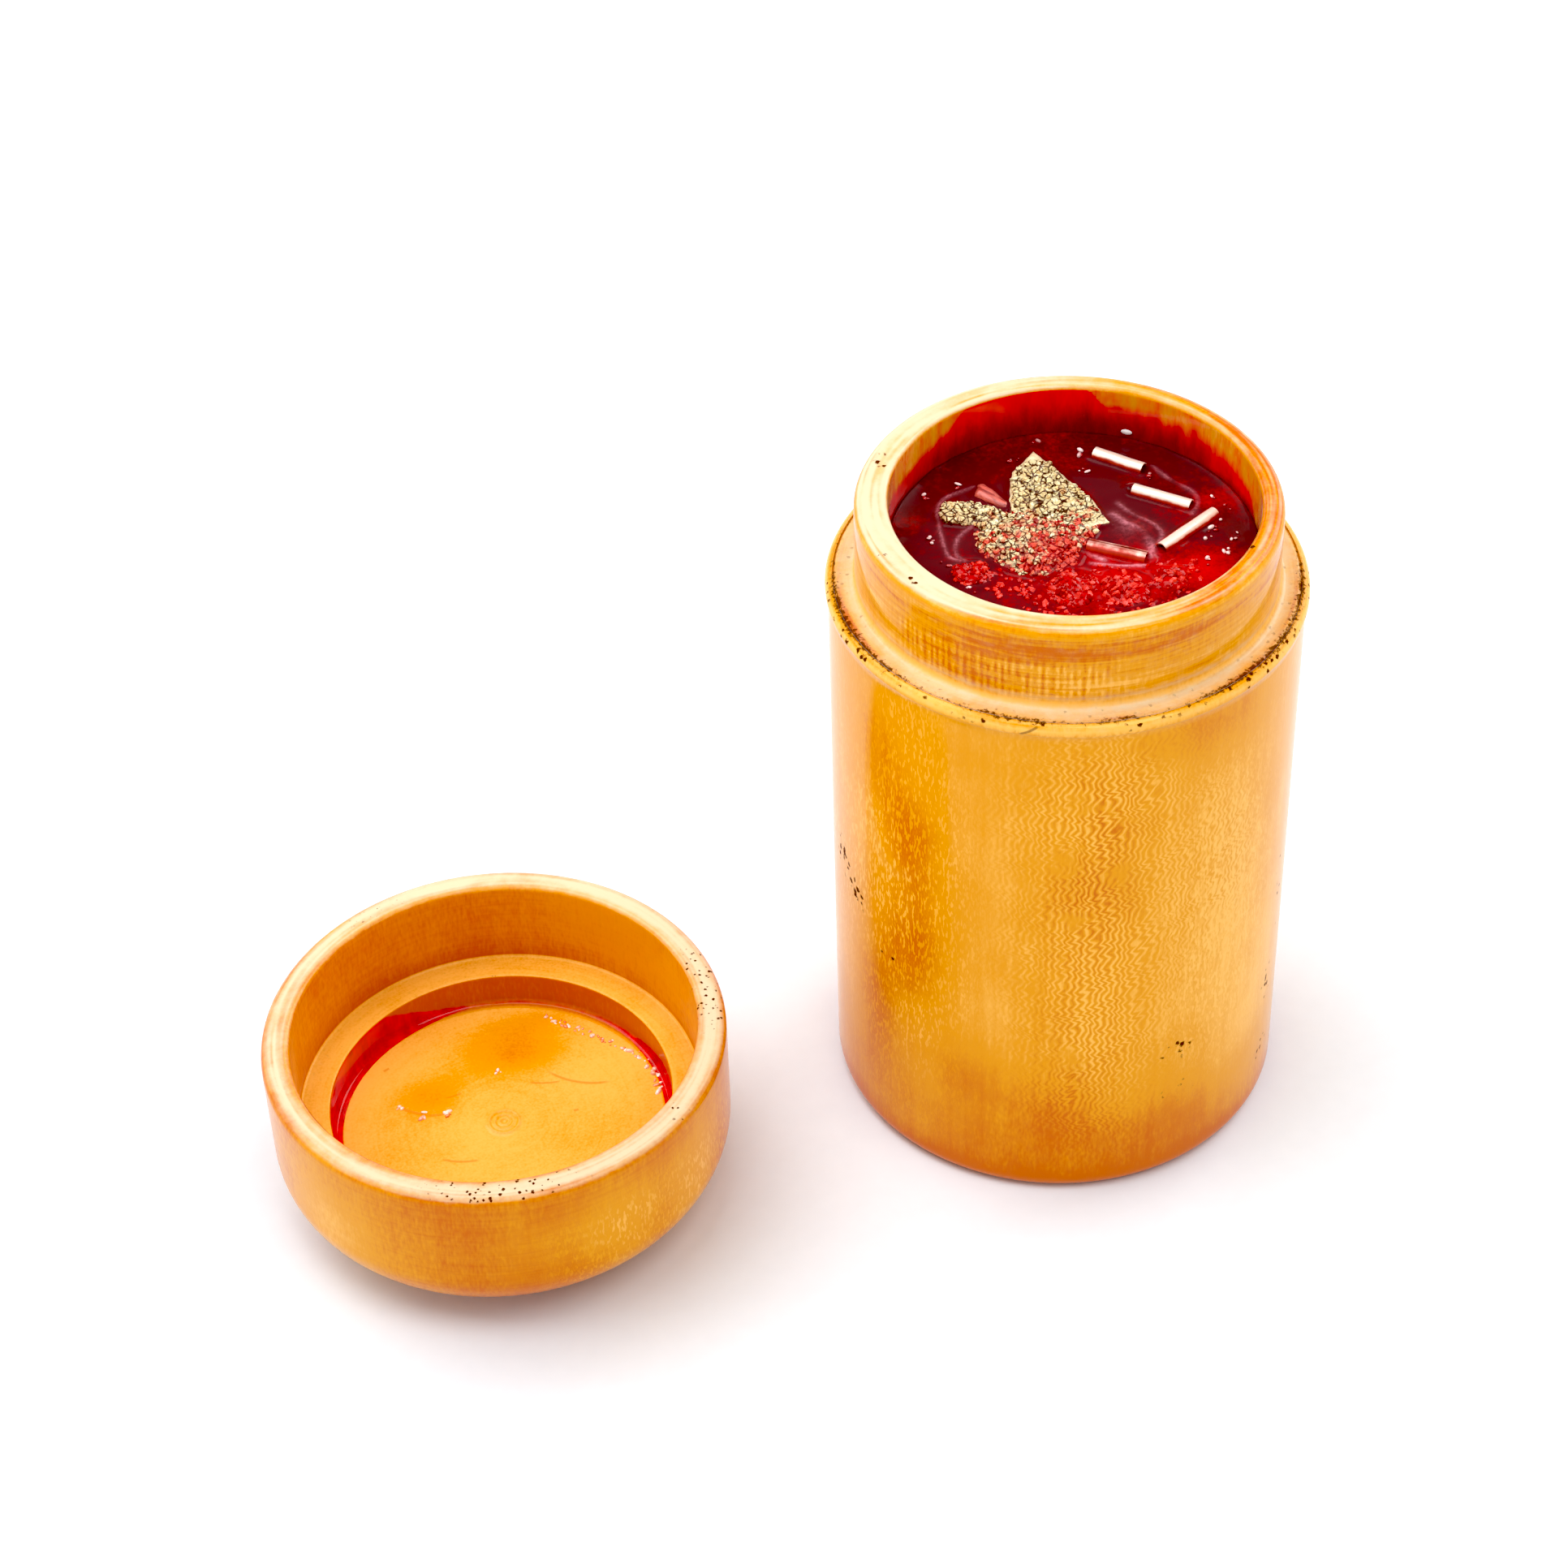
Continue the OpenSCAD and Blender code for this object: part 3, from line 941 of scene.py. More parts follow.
def makeLid():
    marks = [((x + lid["middle"], y, 0.0), *rest) for (x, y), *rest in lidPaint["scratches"]]
    finish = makeBoxwood("polishedBoxwoodLid", lidPaint, marks, "Object")
    outline, bored, floor, ledge, hollow = lidOutline()
    mesh = turnedMesh(
        "turnedLid", outline, bored, finish, lid["segments"], facingLid + 180, axisX=lid["middle"]
    )
    x, y, z = places(mesh).T
    x = x - lid["middle"]
    inside = boredPart(mesh)
    outer = 1 - inside
    angle = roundAngle(x, y, facingLid)
    radius = np.hypot(x, y)
    top = lid["height"]
    onRim = rise(z, top - 0.5, top - 0.15)
    onFloor = inside * (1 - rise(radius, hollow - 0.8, hollow - 0.4)) * (z < floor + 1)
    onLedge = inside * hump(z, ledge, 0.25) * (radius > hollow)
    recess = inside * (z < ledge - 0.15) * (1 - onFloor)
    wall = inside * (z > ledge + 0.2)
    base = lidPaint["warm"]
    # the outside's paler patch on the left is a painted reflection
    warm = outer * (base["outside"] + spots(angle, z, lidPaint["outside"]))
    # painted light and shade on the socket wall: darker towards the ledge at its foot, paler round 130
    # degrees to the right
    warm += wall * (base["wall"] + 0.2 * hump(z, ledge, 2.0) - 0.2 * roundHump(angle, 130, 40))
    # the ledge's pale tint is painted light
    warm += onLedge * base["ledge"] + recess * base["recess"] + onFloor * base["floor"]
    for middleX, middleY, halfX, halfY, amount in lidPaint["floorPatches"]:
        warm += onFloor * amount * hump(x, middleX, halfX) * hump(y, middleY, halfY)
    # painted shade at the inner foot of each raised centre ring
    for ring in lid["centreRings"]:
        warm += base["ring"] * onFloor * hump(radius, ring - lid["ringWidth"], 0.1)
    reach = np.interp(angle, *zip(*lidPaint["filmEdge"])) - rise(radius, hollow - 0.1, hollow - 0.8)
    film = np.where(recess > 0.5, reach + floor - z, -1)
    pits = sum(amount * roundHump(angle, middle, width) for middle, width, amount in lidPaint["rimPits"])
    # painted light: the outer wall is painted paler towards the top
    glow = 0.04 * outer * rise(z, top - 2.6, top - 0.6)
    # rub wear and a painted highlight on the rim: palest in the middle of the rim and towards the right
    crest = onRim * hump(radius, (lid["radius"] + lid["socketRadius"]) / 2, 1.15)
    crest *= lidPaint["crest"] + 0.1 * np.sin(np.radians(angle)) + 0.45 * latheNoise(angle, radius)
    edges = roundHump(angle, 95, 34) + 0.7 * roundHump(angle, -120, 30)
    # painted shadow: a dark line along the top of the recess wall, under the ledge's edge
    grime = 0.3 * inside * hump(z, ledge, 0.12) * hump(radius, hollow, 0.25)
    # a dark band on the outside just under the rim, at the right and at the back left
    grime += 0.5 * outer * hump(z, top - 0.75, 0.2) * edges
    paintMasks(mesh, {
        "warm": warm,
        "pale": crest + 0.06 * onLedge + glow,
        "grime": grime,
        "pits": pits * onRim + 0.12 * onFloor + 0.2 * onLedge,
        "film": np.clip(film, -1, 2.5),
        "depth": lidPaint["filmDepth"],
        "flecks": 0.6 * outer * between(angle, 10, 80, 20) * between(z, 3, 14, 3),
        "rings": 0.18 * wall + 0.2 * outer + 0.3 * onLedge + 0.4 * onRim + 0.16 * onFloor,
    })
    finishPiece("turnedLid", mesh, "lid", "boxwood", "lid")


makeLid()
print("lid turned")

# What lies in the balm. Places are in shares of the mouth's radius, from the middle of the mouth
contents = {
    "cornerChip": [
        (0.073, 0.816), (-0.011, 0.743), (-0.103, 0.673), (-0.162, 0.551), (-0.209, 0.427), (-0.225, 0.33),
        (-0.14, 0.20), (-0.02, 0.10), (0.10, 0.09), (0.244, 0.09), (0.225, 0.294), (0.178, 0.472),
        (0.133, 0.623),
    ],
    "longChip": [
        (-0.604, 0.467), (-0.542, 0.539), (-0.38, 0.494), (-0.296, 0.411), (-0.237, 0.218), (-0.291, 0.159),
        (-0.377, 0.189), (-0.459, 0.317), (-0.599, 0.399),
    ],
    "barkChip": [
        (-0.318, 0.643), (-0.278, 0.642), (-0.246, 0.55), (-0.212, 0.431), (-0.24, 0.387), (-0.305, 0.477),
        (-0.363, 0.564),
    ],
    "paste": [
        (-0.47, 0.27), (-0.50, 0.14), (-0.47, 0.0), (-0.41, -0.12), (-0.30, -0.21), (-0.16, -0.23),
        (-0.04, -0.17), (0.06, -0.05), (0.14, 0.04), (0.22, 0.13), (0.05, 0.22), (-0.10, 0.32),
        (-0.22, 0.42), (-0.30, 0.34),
    ],
    # granules of resin in the balm at the front
    "crumbs": [
        (-0.66, -0.02), (-0.58, -0.24), (-0.44, -0.44), (-0.24, -0.62), (0.02, -0.72), (0.30, -0.68),
        (0.52, -0.54), (0.60, -0.36), (0.40, -0.30), (0.20, -0.30), (0.02, -0.20), (-0.18, -0.18),
        (-0.40, -0.08),
    ],
    # small groups of bubbles
    "bubbles": [
        (0.335, 0.75), (0.29, 0.60), (0.12, 0.93), (-0.04, 0.80), (-0.61, 0.66), (0.87, 0.13), (0.91, 0.01),
        (0.84, -0.24), (0.75, -0.35), (-0.73, 0.28), (-0.72, 0.05), (-0.40, 0.70), (0.62, 0.42),
        (-0.66, -0.2), (0.82, -0.05), (0.75, -0.13), (0.71, -0.19), (0.61, -0.39),
    ],
    # middle, turn in degrees and length in millimetres
    "tubes": {
        1: ((0.50, 0.60), -49, 4.6), 2: ((0.60, 0.21), -45, 5.2), 3: ((0.62, -0.11), 27, 6.6),
        4: ((0.19, -0.16), -39, 5.0),
    },
    # middle and radius in millimetres
    "lumps": {
        1: ((-0.14, -0.38), 1.7), 2: ((0.11, -0.47), 1.7), 3: ((-0.60, -0.08), 1.1), 4: ((0.37, -0.48), 1.2),
    },
    "tubeRadius": 0.7,
    "chipThickness": 0.5,
    "pasteHeight": 0.62,
    "standOut": 0.75,         # how far tubes and lumps rise above the balm
}


def onBalm(share):
    return np.array([jar["boreShift"] + share[0] * jar["mouthRadius"], share[1] * jar["mouthRadius"]])


def awayFrom(x, y, share):
    middle = onBalm(share)
    return np.hypot(x - middle[0], y - middle[1])


def closedLoop(shares):
    corners = [onBalm(share) for share in shares]
    return corners + corners[:1]


def smoothLine(points, count=8):
    # a smooth curve through a few chosen points
    points = [np.array(point, float) for point in points]
    ends = [2 * points[0] - points[1], *points, 2 * points[-1] - points[-2]]
    line = []
    for a, b, c, d in zip(ends, ends[1:], ends[2:], ends[3:]):
        for step in range(count):
            t = step / count
            line.append(b + 0.5 * t * (c - a + t * (2 * a - 5 * b + 4 * c - d + t * (3 * (b - c) + d - a))))
    return line + [points[-1]]


def distanceToLine(x, y, line):
    nearest = np.full(len(x), 1e9)
    for first, last in zip(line, line[1:]):
        run = last - first
        share = np.clip(((x - first[0]) * run[0] + (y - first[1]) * run[1]) / max(run @ run, 1e-12), 0, 1)
        nearest = np.minimum(nearest, np.hypot(x - first[0] - share * run[0], y - first[1] - share * run[1]))
    return nearest


def tubeEnds(number):
    share, turnBy, length = contents["tubes"][number]
    along = np.array([math.cos(math.radians(turnBy)), math.sin(math.radians(turnBy))]) * length / 2
    return onBalm(share) - along, onBalm(share) + along


resin = {
    "shader": {
        "Roughness": 0.2, "Specular IOR Level": 0.1,
        "Coat Weight": 0.8, "Coat Roughness": 0.03, "Coat IOR": 1.3,
        "Subsurface Weight": 0.2, "Subsurface Scale": 0.4 * mm, "Subsurface Radius": (1.0, 0.2, 0.1),
    },
    "tints": ((172, 5, 8), (244, 78, 66)),
    "ground": (186, 8, 12),
    "veins": (1.8, 1.8, 1.8),
    "relief": (0.2, 0.05),
    "widen": 1.5,             # a lump spreads wider than its solid where it lies in the balm
    "uneven": 0.42,
    "knobs": 0.4,             # height of the knobs on a lump
    "knobsPerMm": 1.0,
    "density": 5.0e6,
    "sizes": (0.1 * mm, 0.32 * mm),
    "crumbDensity": 3.2e6,
    "crumbSizes": (0.08 * mm, 0.3 * mm),
    "crumbSeed": 57,
    "lumpSeed": 20,
}
balm = {
    "shader": {
        "Roughness": 0.12, "Specular IOR Level": 0.05,
        "Coat Weight": 0.6, "Coat Roughness": 0.02, "Coat IOR": 1.2,
    },
    "tints": ((94, 33, 37), (188, 14, 16), (245, 26, 14), (222, 138, 150)),      # dark, red, bright, and a milk-white tint for pale film and painted highlights
    "swirls": (0.45, 0.45, 0.45),
    "motes": (2.6, 2.6, 2.6),
    "relief": (0.08, 0.1),
    "wallRise": 0.22,
    "wallReach": 0.5,
    "rimRise": 0.12,          # where the balm climbs round what lies in it
    "rimReach": 0.3,
    "ridgeHeight": 0.08,
    # folds and strands in the surface: places, half width and how milk-white they are, partly as a painted
    # highlight
    "ridges": [
        ([(0.295, 0.17), (0.332, 0.077), (0.385, -0.034), (0.392, -0.141), (0.351, -0.243)], 0.3, 0.8),
        ([(0.36, 0.253), (0.392, 0.148), (0.47, 0.015), (0.48, -0.081), (0.434, -0.156)], 0.16, 0.6),
        ([(0.66, 0.50), (0.70, 0.38), (0.783, 0.21), (0.774, 0.12), (0.702, 0.025)], 0.14, 0.5),
        ([(-0.338, 0.655), (-0.517, 0.611), (-0.6, 0.50), (-0.635, 0.367), (-0.664, 0.213), (-0.668, 0.111),
          (-0.607, 0.038)], 0.12, 0.6),
        ([(-0.459, 0.317), (-0.528, 0.283), (-0.588, 0.225), (-0.625, 0.121), (-0.603, 0.049)], 0.13, 0.65),
        ([(0.043, -0.123), (0.103, -0.196)], 0.16, 1.2),
        ([(0.024, -0.193), (0.15, -0.26), (0.289, -0.313)], 0.12, 1.1),
    ],
    "blister": ((0.34, 0.0), 1.2, 0.16),      # place, reach and height
    "backGlow": (0.12, 2.0),      # painted red shine along the wall farthest from the camera: amount and reach
    # redder places: where, reach and amount
    "glows": [
        ((0.22, -0.34), 4.2, 0.5), ((-0.15, -0.44), 4.2, 0.4), ((0.58, -0.46), 3.4, 0.7),
        ((-0.45, -0.2), 3.0, 0.25), ((0.1, 0.95), 4.0, 0.15), ((-0.75, 0.3), 3.0, 0.15),
        ((0.85, 0.1), 3.0, 0.3),
    ],
    "waves": 0.07,
    "rings": 0.16,
    "segments": 400,
}


def makeBalmFinish():
    finish, tree, principled = newFinish("redBalm", balm["shader"])
    place = placeIn(tree)
    swirl = place.grains(balm["swirls"], 4.0, 0.6)
    motes = place.grains(balm["motes"], 3.0, 0.7)
    level = painted(tree, "glow") + swirl.off(0.9) + motes.off(0.7)
    dark, red, bright, milkAndHighlight = tints(*balm["tints"])
    colour = mixTint(level.fade(0.0, 0.8), dark, red)
    colour = mixTint(level.fade(0.75, 1.3), colour, bright)
    # milk-white tint on the folds and the blister: pale film with a painted highlight
    froth = painted(tree, "froth") * (motes.fade(0.35, 0.65) * 0.65 + 0.35)
    wire(mixTint(froth, colour, milkAndHighlight), principled["Base Color"])
    addRelief(principled, motes, *balm["relief"])
    return finish


def makeBalm():
    low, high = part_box("balm")
    reach = (high.x - low.x) / 2 / mm
    corner = jar["floorRound"] - (jar["mouthRadius"] - reach)
    base = low.z / mm
    outline = joinStretches([
        ([(0, base)], 1),
        (arcPoints((reach - corner, base + corner), corner, -90, 0, 6), 3),
        ([(reach, balmLevel)], 6),
        ([(0, balmLevel)], balm["rings"]),
    ])
    bored = [1.0] * len(outline)
    finish = makeBalmFinish()
    mesh = turnedMesh("balm", outline, bored, finish, balm["segments"], 0, boreShift=jar["boreShift"])
    points = places(mesh)
    x, y, z = points.T
    fromWall = reach - np.hypot(x - jar["boreShift"], y)
    lift = balm["wallRise"] * np.exp(-fromWall / balm["wallReach"])
    froth = np.zeros(len(x))
    for ridge, halfWidth, milkAndHighlight in balm["ridges"]:
        away = distanceToLine(x, y, smoothLine([onBalm(share) for share in ridge]))
        lift += balm["ridgeHeight"] * hump(away, 0, halfWidth)
        # the pale haze along each fold is partly a painted highlight
        haze = hump(away, 0, halfWidth) + 0.16 * hump(away, 0, 2.5 * halfWidth)
        froth = np.maximum(froth, milkAndHighlight * haze)
    for number in contents["tubes"]:
        away = distanceToLine(x, y, tubeEnds(number))
        lift += balm["rimRise"] * hump(away, contents["tubeRadius"], balm["rimReach"])
    for share, radius in contents["lumps"].values():
        lift += balm["rimRise"] * hump(awayFrom(x, y, share), radius * resin["widen"], 0.5)
    for name in ("cornerChip", "longChip", "barkChip", "paste"):
        away = distanceToLine(x, y, closedLoop(contents[name]))
        lift += balm["rimRise"] * hump(away, 0.1, balm["rimReach"])
    middle, radius, height = balm["blister"]
    blister = hump(awayFrom(x, y, middle), 0, radius)
    lift += height * blister
    froth = np.maximum(froth, 0.3 * blister) * (0.6 + 0.8 * noiseAt(x * 0.55, y * 0.55, 4.0))
    lift += balm["waves"] * noiseAt(x * 0.5, y * 0.5, 0.0)
    onTop = z > balmLevel - 0.01
    points[:, 2] += np.where(onTop, np.minimum(lift, contents["standOut"]), 0)
    moveTo(mesh, points)
    # painted shine: brighter red towards the wall farthest from the camera
    amount, glowReach = balm["backGlow"]
    away = math.radians(90 - viewpoint["heading"])
    towardsBack = rise((x * math.cos(away) + y * math.sin(away)) / reach, -0.3, 0.8)
    glow = amount * towardsBack * np.exp(-fromWall / glowReach)
    for share, radius, amount in balm["glows"]:
        glow += amount * hump(awayFrom(x, y, share), 0, radius)
    # glow holds the painted shine along the far wall together with the redder places
    paintMasks(mesh, {"glow": glow, "froth": froth})
    finishPiece("redBalm", mesh, "jar", "balm", "balm")


makeBalm()
print("balm filled in")

# Rolled foil tubes: a strip wound on itself one and a half times
foil = {
    "metallic": 0.3,
    "metal": ((255, 244, 232), (250, 218, 194)),      # on the creases and between them
    "oil": ((210, 70, 50), (120, 16, 18)),            # thin and thick
    "creases": (2.2, 2.2, 2.2),
    "roughness": (0.2, 0.25),     # the least, and what the creases add
    "relief": (0.25, 0.05),
    "turns": 1.45,
    "wall": 0.09,
    "tightening": 0.2,
    "start": (250, 40),           # where the strip's outer end lies, and the step to the next tube's
    "sectionSteps": 44,
    "rings": 14,
    "dents": 0.03,
    "soiled": {1: 0.15, 2: 0.1, 3: 0.2, 4: 0.5},      # oil on each tube beyond the part that is sunk
}


def makeFoilFinish():
    finish, tree, principled = newFinish("oilyFoil", {"Metallic": foil["metallic"]})
    creases = placeIn(tree).grains(foil["creases"], 4.0, 0.65)
    stained = useGroup(tree, oilStain, {
        "Color": mixTint(creases, *tints(*foil["metal"])),
        "Amount": painted(tree, "sunk"), "Depth": 0.35, **oilTints(*foil["oil"]),
    })
    wire(stained["Color"], principled["Base Color"])
    least, more = foil["roughness"]
    wire(creases * more + least, principled["Roughness"])
    addRelief(principled, creases, *foil["relief"])
    return finish


def makeTube(number, finish):
    share, turnBy, length = contents["tubes"][number]
    middle = onBalm(share)
    centreHeight = balmLevel + contents["standOut"] - contents["tubeRadius"]
    heading = math.radians(turnBy)
    steps = foil["sectionSteps"]
    start, further = foil["start"]
    outer = []
    for step in range(steps + 1):
        angle = math.radians(start + further * number) - foil["turns"] * fullTurn * step / steps
        outer.append((angle, contents["tubeRadius"] - foil["tightening"] * step / steps))
    section = outer + [(angle, radius - foil["wall"]) for angle, radius in reversed(outer)]
    verts = []
    for ring in range(foil["rings"] + 1):
        along = length * (ring / foil["rings"] - 0.5)
        for angle, radius in section:
            place = Vector((along * 0.6, angle, number * 7.0))
            dented = radius + foil["dents"] * noise.noise(place)
            side = dented * math.cos(angle)
            verts.append((
                (middle[0] + along * math.cos(heading) - side * math.sin(heading)) * mm,
                (middle[1] + along * math.sin(heading) + side * math.cos(heading)) * mm,
                (centreHeight + dented * math.sin(angle)) * mm,
            ))
    count = len(section)
    faces = []
    for ring in range(foil["rings"]):
        for side in range(count):
            a, b = ring * count + side, ring * count + (side + 1) % count
            faces.append((a, b, b + count, a + count))
    last = foil["rings"] * count
    for step in range(steps):
        # the strip's two ends, one quad for each step of the winding
        a, b, c, d = step, step + 1, count - 2 - step, count - 1 - step
        faces.append((d, c, b, a))
        faces.append((last + a, last + b, last + c, last + d))
    mesh = newMesh("tube", verts, faces)
    mesh.materials.append(finish)
    mesh.shade_smooth()
    mesh.set_sharp_from_angle(angle=math.radians(50))
    sunk = 0.75 - 0.75 * rise(places(mesh)[:, 2], balmLevel + 0.05, balmLevel + 0.62)
    paintMasks(mesh, {"sunk": sunk + foil["soiled"][number]})
    work = bmesh.new()
    work.from_mesh(mesh)
    bmesh.ops.recalc_face_normals(work, faces=work.faces)
    writeTo(mesh, work)
    finishPiece("rolledTube%d" % number, mesh, "jar", "foil", "tube_%d" % number)


foilFinish = makeFoilFinish()
for tubeNumber in contents["tubes"]:
    makeTube(tubeNumber, foilFinish)
print("foil tubes rolled")

# Chips and paste: crumpled plates cut to an outline, with flakes of leaf lying on them
leaf = {
    "shader": {
        "Roughness": 0.35, "Specular IOR Level": 0.2,
        "Coat Weight": 0.4, "Coat Roughness": 0.1, "Coat IOR": 1.3,
    },
    "gold": ((255, 243, 196), (244, 200, 108)),
    "crack": (78, 36, 8),
    "oil": ((246, 92, 74), (150, 8, 14)),      # thin and thick
    "ripples": (1.6, 1.6, 1.6),
    "cracksPerMm": (1.7, 3.6),
    "fineCracks": 0.45,       # how dark the finer ones are
    "warpsPerMm": 1.3,
    "warp": 0.5,              # how far the cracks stray, in millimetres
    "ground": 0.24,           # how dark the plate is under its flakes
    "metallic": 0.3,
    "relief": (0.5, 0.08),
    # oil that has soaked in: the place it comes from, how far it reaches, least and most
    "soak": {
        "cornerChip": ((0.0, 0.0), 3.4, 0.0, 0.75),
        "longChip": ((-0.2, 0.1), 2.6, 0.08, 0.62),
        "paste": ((-0.05, -0.25), 6.0, 0.16, 0.95),
        "barkChip": ((-0.2, 0.4), 2.0, 0.0, 0.5),
    },
    "gridStep": 0.2,
    "raggedStep": 0.45,
    "ragged": 0.12,
    "raggedPerMm": 1.7,
    "tilt": 0.2,              # how much higher the corner chip's point lies than its long edge
    "tiltSpan": (2.0, 12.0),
    "crumple": 0.16,
    "crumpleScale": 1.1,
    "edgeDrop": 0.28,
    "edgeReach": 0.15,
    "bareReach": 1.4,         # how far the smooth leaf at the corner chip's point reaches
    "border": 0.22,           # smooth leaf along a chip's edge
    "density": 5.2e6,
    "sizes": (0.15 * mm, 0.35 * mm),
    "seed": 3,
}
paste = {
    "least": 0.08,            # height at the edge
    "slope": 2.2,             # how far in from the edge the heap reaches its height
    "lumps": 0.3,
    "lumpsPerMm": 1.4,
    "lumpsFrom": 0.6,
    "seed": 31.0,
}


def makeLeafFinish():
    finish, tree, principled = newFinish("goldLeaf", leaf["shader"])
    place = placeIn(tree)
    ripple = place.grains(leaf["ripples"])
    inputs = {"Vector": place, "Scale": leaf["warpsPerMm"] / mm, "Detail": 2.0}
    offset = flow(tree, "ShaderNodeTexNoise", inputs, "Color")
    inputs = {0: offset, "Scale": leaf["warp"] * mm}
    pushed = flow(tree, "ShaderNodeVectorMath", inputs, operation="SCALE")
    warped = flow(tree, "ShaderNodeVectorMath", {0: place, 1: pushed}, operation="ADD")
    tone = painted(tree, "tone")
    gold = mixTint(tone * 0.6 + ripple.off(0.8), *tints(*leaf["gold"]))
    wide, fine = (warped.cracks(perMm) for perMm in leaf["cracksPerMm"])
    gaps = wide.fade(0.15, 0.06).orMore(fine.fade(0.1, 0.03) * leaf["fineCracks"])
    cracked = gaps * ripple.fade(0.25, 0.5) * (1.0 - painted(tree, "bare"))
    cracked = (painted(tree, "under") * leaf["ground"]).orMore(cracked)
    stain = useGroup(tree, oilStain, {
        "Color": mixTint(cracked, gold, tint(*leaf["crack"])),
        "Amount": painted(tree, "soak") + tone.off(0.5), "Depth": cracked + 0.15, **oilTints(*leaf["oil"]),
    })
    wire(stain["Color"], principled["Base Color"])
    bright = leaf["metallic"] - cracked.orMore(stain["Wet"])
    wire(bright.orMore(0.0), principled["Metallic"])
    addRelief(principled, ripple - gaps, *leaf["relief"])
    return finish


bark = {
    "shader": {"Roughness": 0.45, "Coat Weight": 0.5, "Coat Roughness": 0.15},
    "tints": ((120, 20, 22), (222, 108, 92)),
    "fibres": (0.6, 3.4, 2.0),     # grains per millimetre along, across and up
    "turnBy": 62,
    "relief": (0.6, 0.1),
}


def makeBarkFinish():
    finish, tree, principled = newFinish("soakedBark", bark["shader"])
    inputs = {"Vector": placeIn(tree), "Rotation": (0, 0, math.radians(bark["turnBy"]))}
    fibre = flow(tree, "ShaderNodeMapping", inputs).grains(bark["fibres"], 4.0, 0.65)
    colour = mixTint(fibre.fade(0.3, 0.7), *tints(*bark["tints"]))
    stain = useGroup(tree, oilStain, {"Color": colour, "Amount": painted(tree, "soak"), "Depth": 0.5})
    wire(stain["Color"], principled["Base Color"])
    addRelief(principled, fibre, *bark["relief"])
    return finish


def raggedOutline(shares, seed):
    # straight edges between the corners, cut a little unevenly
    line = []
    corners = [onBalm(share) for share in shares]
    for first, last in zip(corners, corners[1:] + corners[:1]):
        count = max(1, round(np.hypot(*(last - first)) / leaf["raggedStep"]))
        for step in range(count):
            place = first + (last - first) * step / count
            spot = Vector((*place, seed)) * leaf["raggedPerMm"]
            shake = np.array([noise.noise(spot), noise.noise(spot + Vector((0, 0, 50)))])
            line.append(place + (leaf["ragged"] if step else 0.0) * shake)
    return line


def plateMesh(name, shares, heightAt, foot, seed):
    # an outline filled with an even grid, raised by heightAt(x, y, distance to the edge) above a flat foot
    corners = raggedOutline(shares, seed)
    count = len(corners)
    rim = corners + corners[:1]
    lows = np.min(corners, axis=0)
    spread = np.max(corners, axis=0) - lows
    step = leaf["gridStep"]
    fill = []
    for row in range(int(spread[1] / step)):
        for column in range(int(spread[0] / step)):
            fill.append(lows + step * np.array([column + 0.5 + 0.3 * (row % 2), row + 0.5]))
    fill = np.array(fill)
    fill = fill[distanceToLine(*fill.T, rim) > step * 0.5]
    seeds = [Vector(place) for place in [*corners, *fill]]
    flat, _, faces, *_ = geometry.delaunay_2d_cdt(seeds, [], [list(range(count))], 1, 1e-5)
    points = np.array([tuple(place) for place in flat])
    tops = heightAt(*points.T, distanceToLine(*points.T, rim))
    work = bmesh.new()
    upper = [work.verts.new((px * mm, py * mm, (foot + top) * mm)) for (px, py), top in zip(points, tops)]
    lower = [work.verts.new((px * mm, py * mm, foot * mm)) for px, py in points]
    for face in faces:
        work.faces.new([upper[index] for index in face])
        work.faces.new([lower[index] for index in reversed(face)])
    for side in [line for line in work.edges if line.is_boundary]:
        if all(vert in upper[:count] for vert in side.verts):
            first, second = (upper.index(vert) for vert in side.verts)
            work.faces.new([upper[first], upper[second], lower[second], lower[first]])
    bmesh.ops.recalc_face_normals(work, faces=work.faces)
    mesh = writeTo(bpy.data.meshes.new(name), work)
    mesh.shade_smooth()
    return mesh


def crumpled(x, y, scale, seed):
    folds = np.abs(noiseAt(x * scale * 0.6, y * scale * 0.6, seed + 9))
    return noiseAt(x * scale, y * scale, seed) * 0.6 + folds


def chipHeight(seed, thickness, tilt=0.0):
    def heightAt(x, y, edge):
        worn = leaf["edgeDrop"] * np.exp(-edge / leaf["edgeReach"])
        folds = leaf["crumple"] * crumpled(x, y, leaf["crumpleScale"], seed)
        return thickness + tilt * rise(y, *leaf["tiltSpan"]) - worn + folds
    return heightAt


def pasteHeightAt(x, y, edge):
    mound = contents["pasteHeight"] * rise(edge, 0.0, paste["slope"])
    lumps = paste["lumps"] * crumpled(x, y, paste["lumpsPerMm"], paste["seed"])
    return paste["least"] + mound + lumps * rise(edge, 0.0, paste["lumpsFrom"])


def paintTone(mesh, soakAt, outline=None):
    # dark cracks show on the carrier, except along the edge and at the first corner of a chip
    x, y, _ = places(mesh).T
    tone = 0.5 + 0.5 * noiseAt(x * 0.9, y * 0.9, 3.0)
    bare = np.zeros(len(x))
    if outline:
        bare = rise(-awayFrom(x, y, outline[0]), -leaf["bareReach"] - 0.4, -leaf["bareReach"])
        edge = distanceToLine(x, y, closedLoop(outline))
        bare = np.maximum(bare, rise(-edge, -leaf["border"] - 0.1, -leaf["border"]))
    paintMasks(mesh, {"tone": tone * (1 - bare), "soak": soakAt(x, y), "bare": bare, "under": 1 - bare})


def soakFrom(share, reach, low, high):
    # how much oil has soaked in, growing towards a place on the balm
    def soakAt(x, y):
        return low + (high - low) * np.exp(-awayFrom(x, y, share) / reach)
    return soakAt


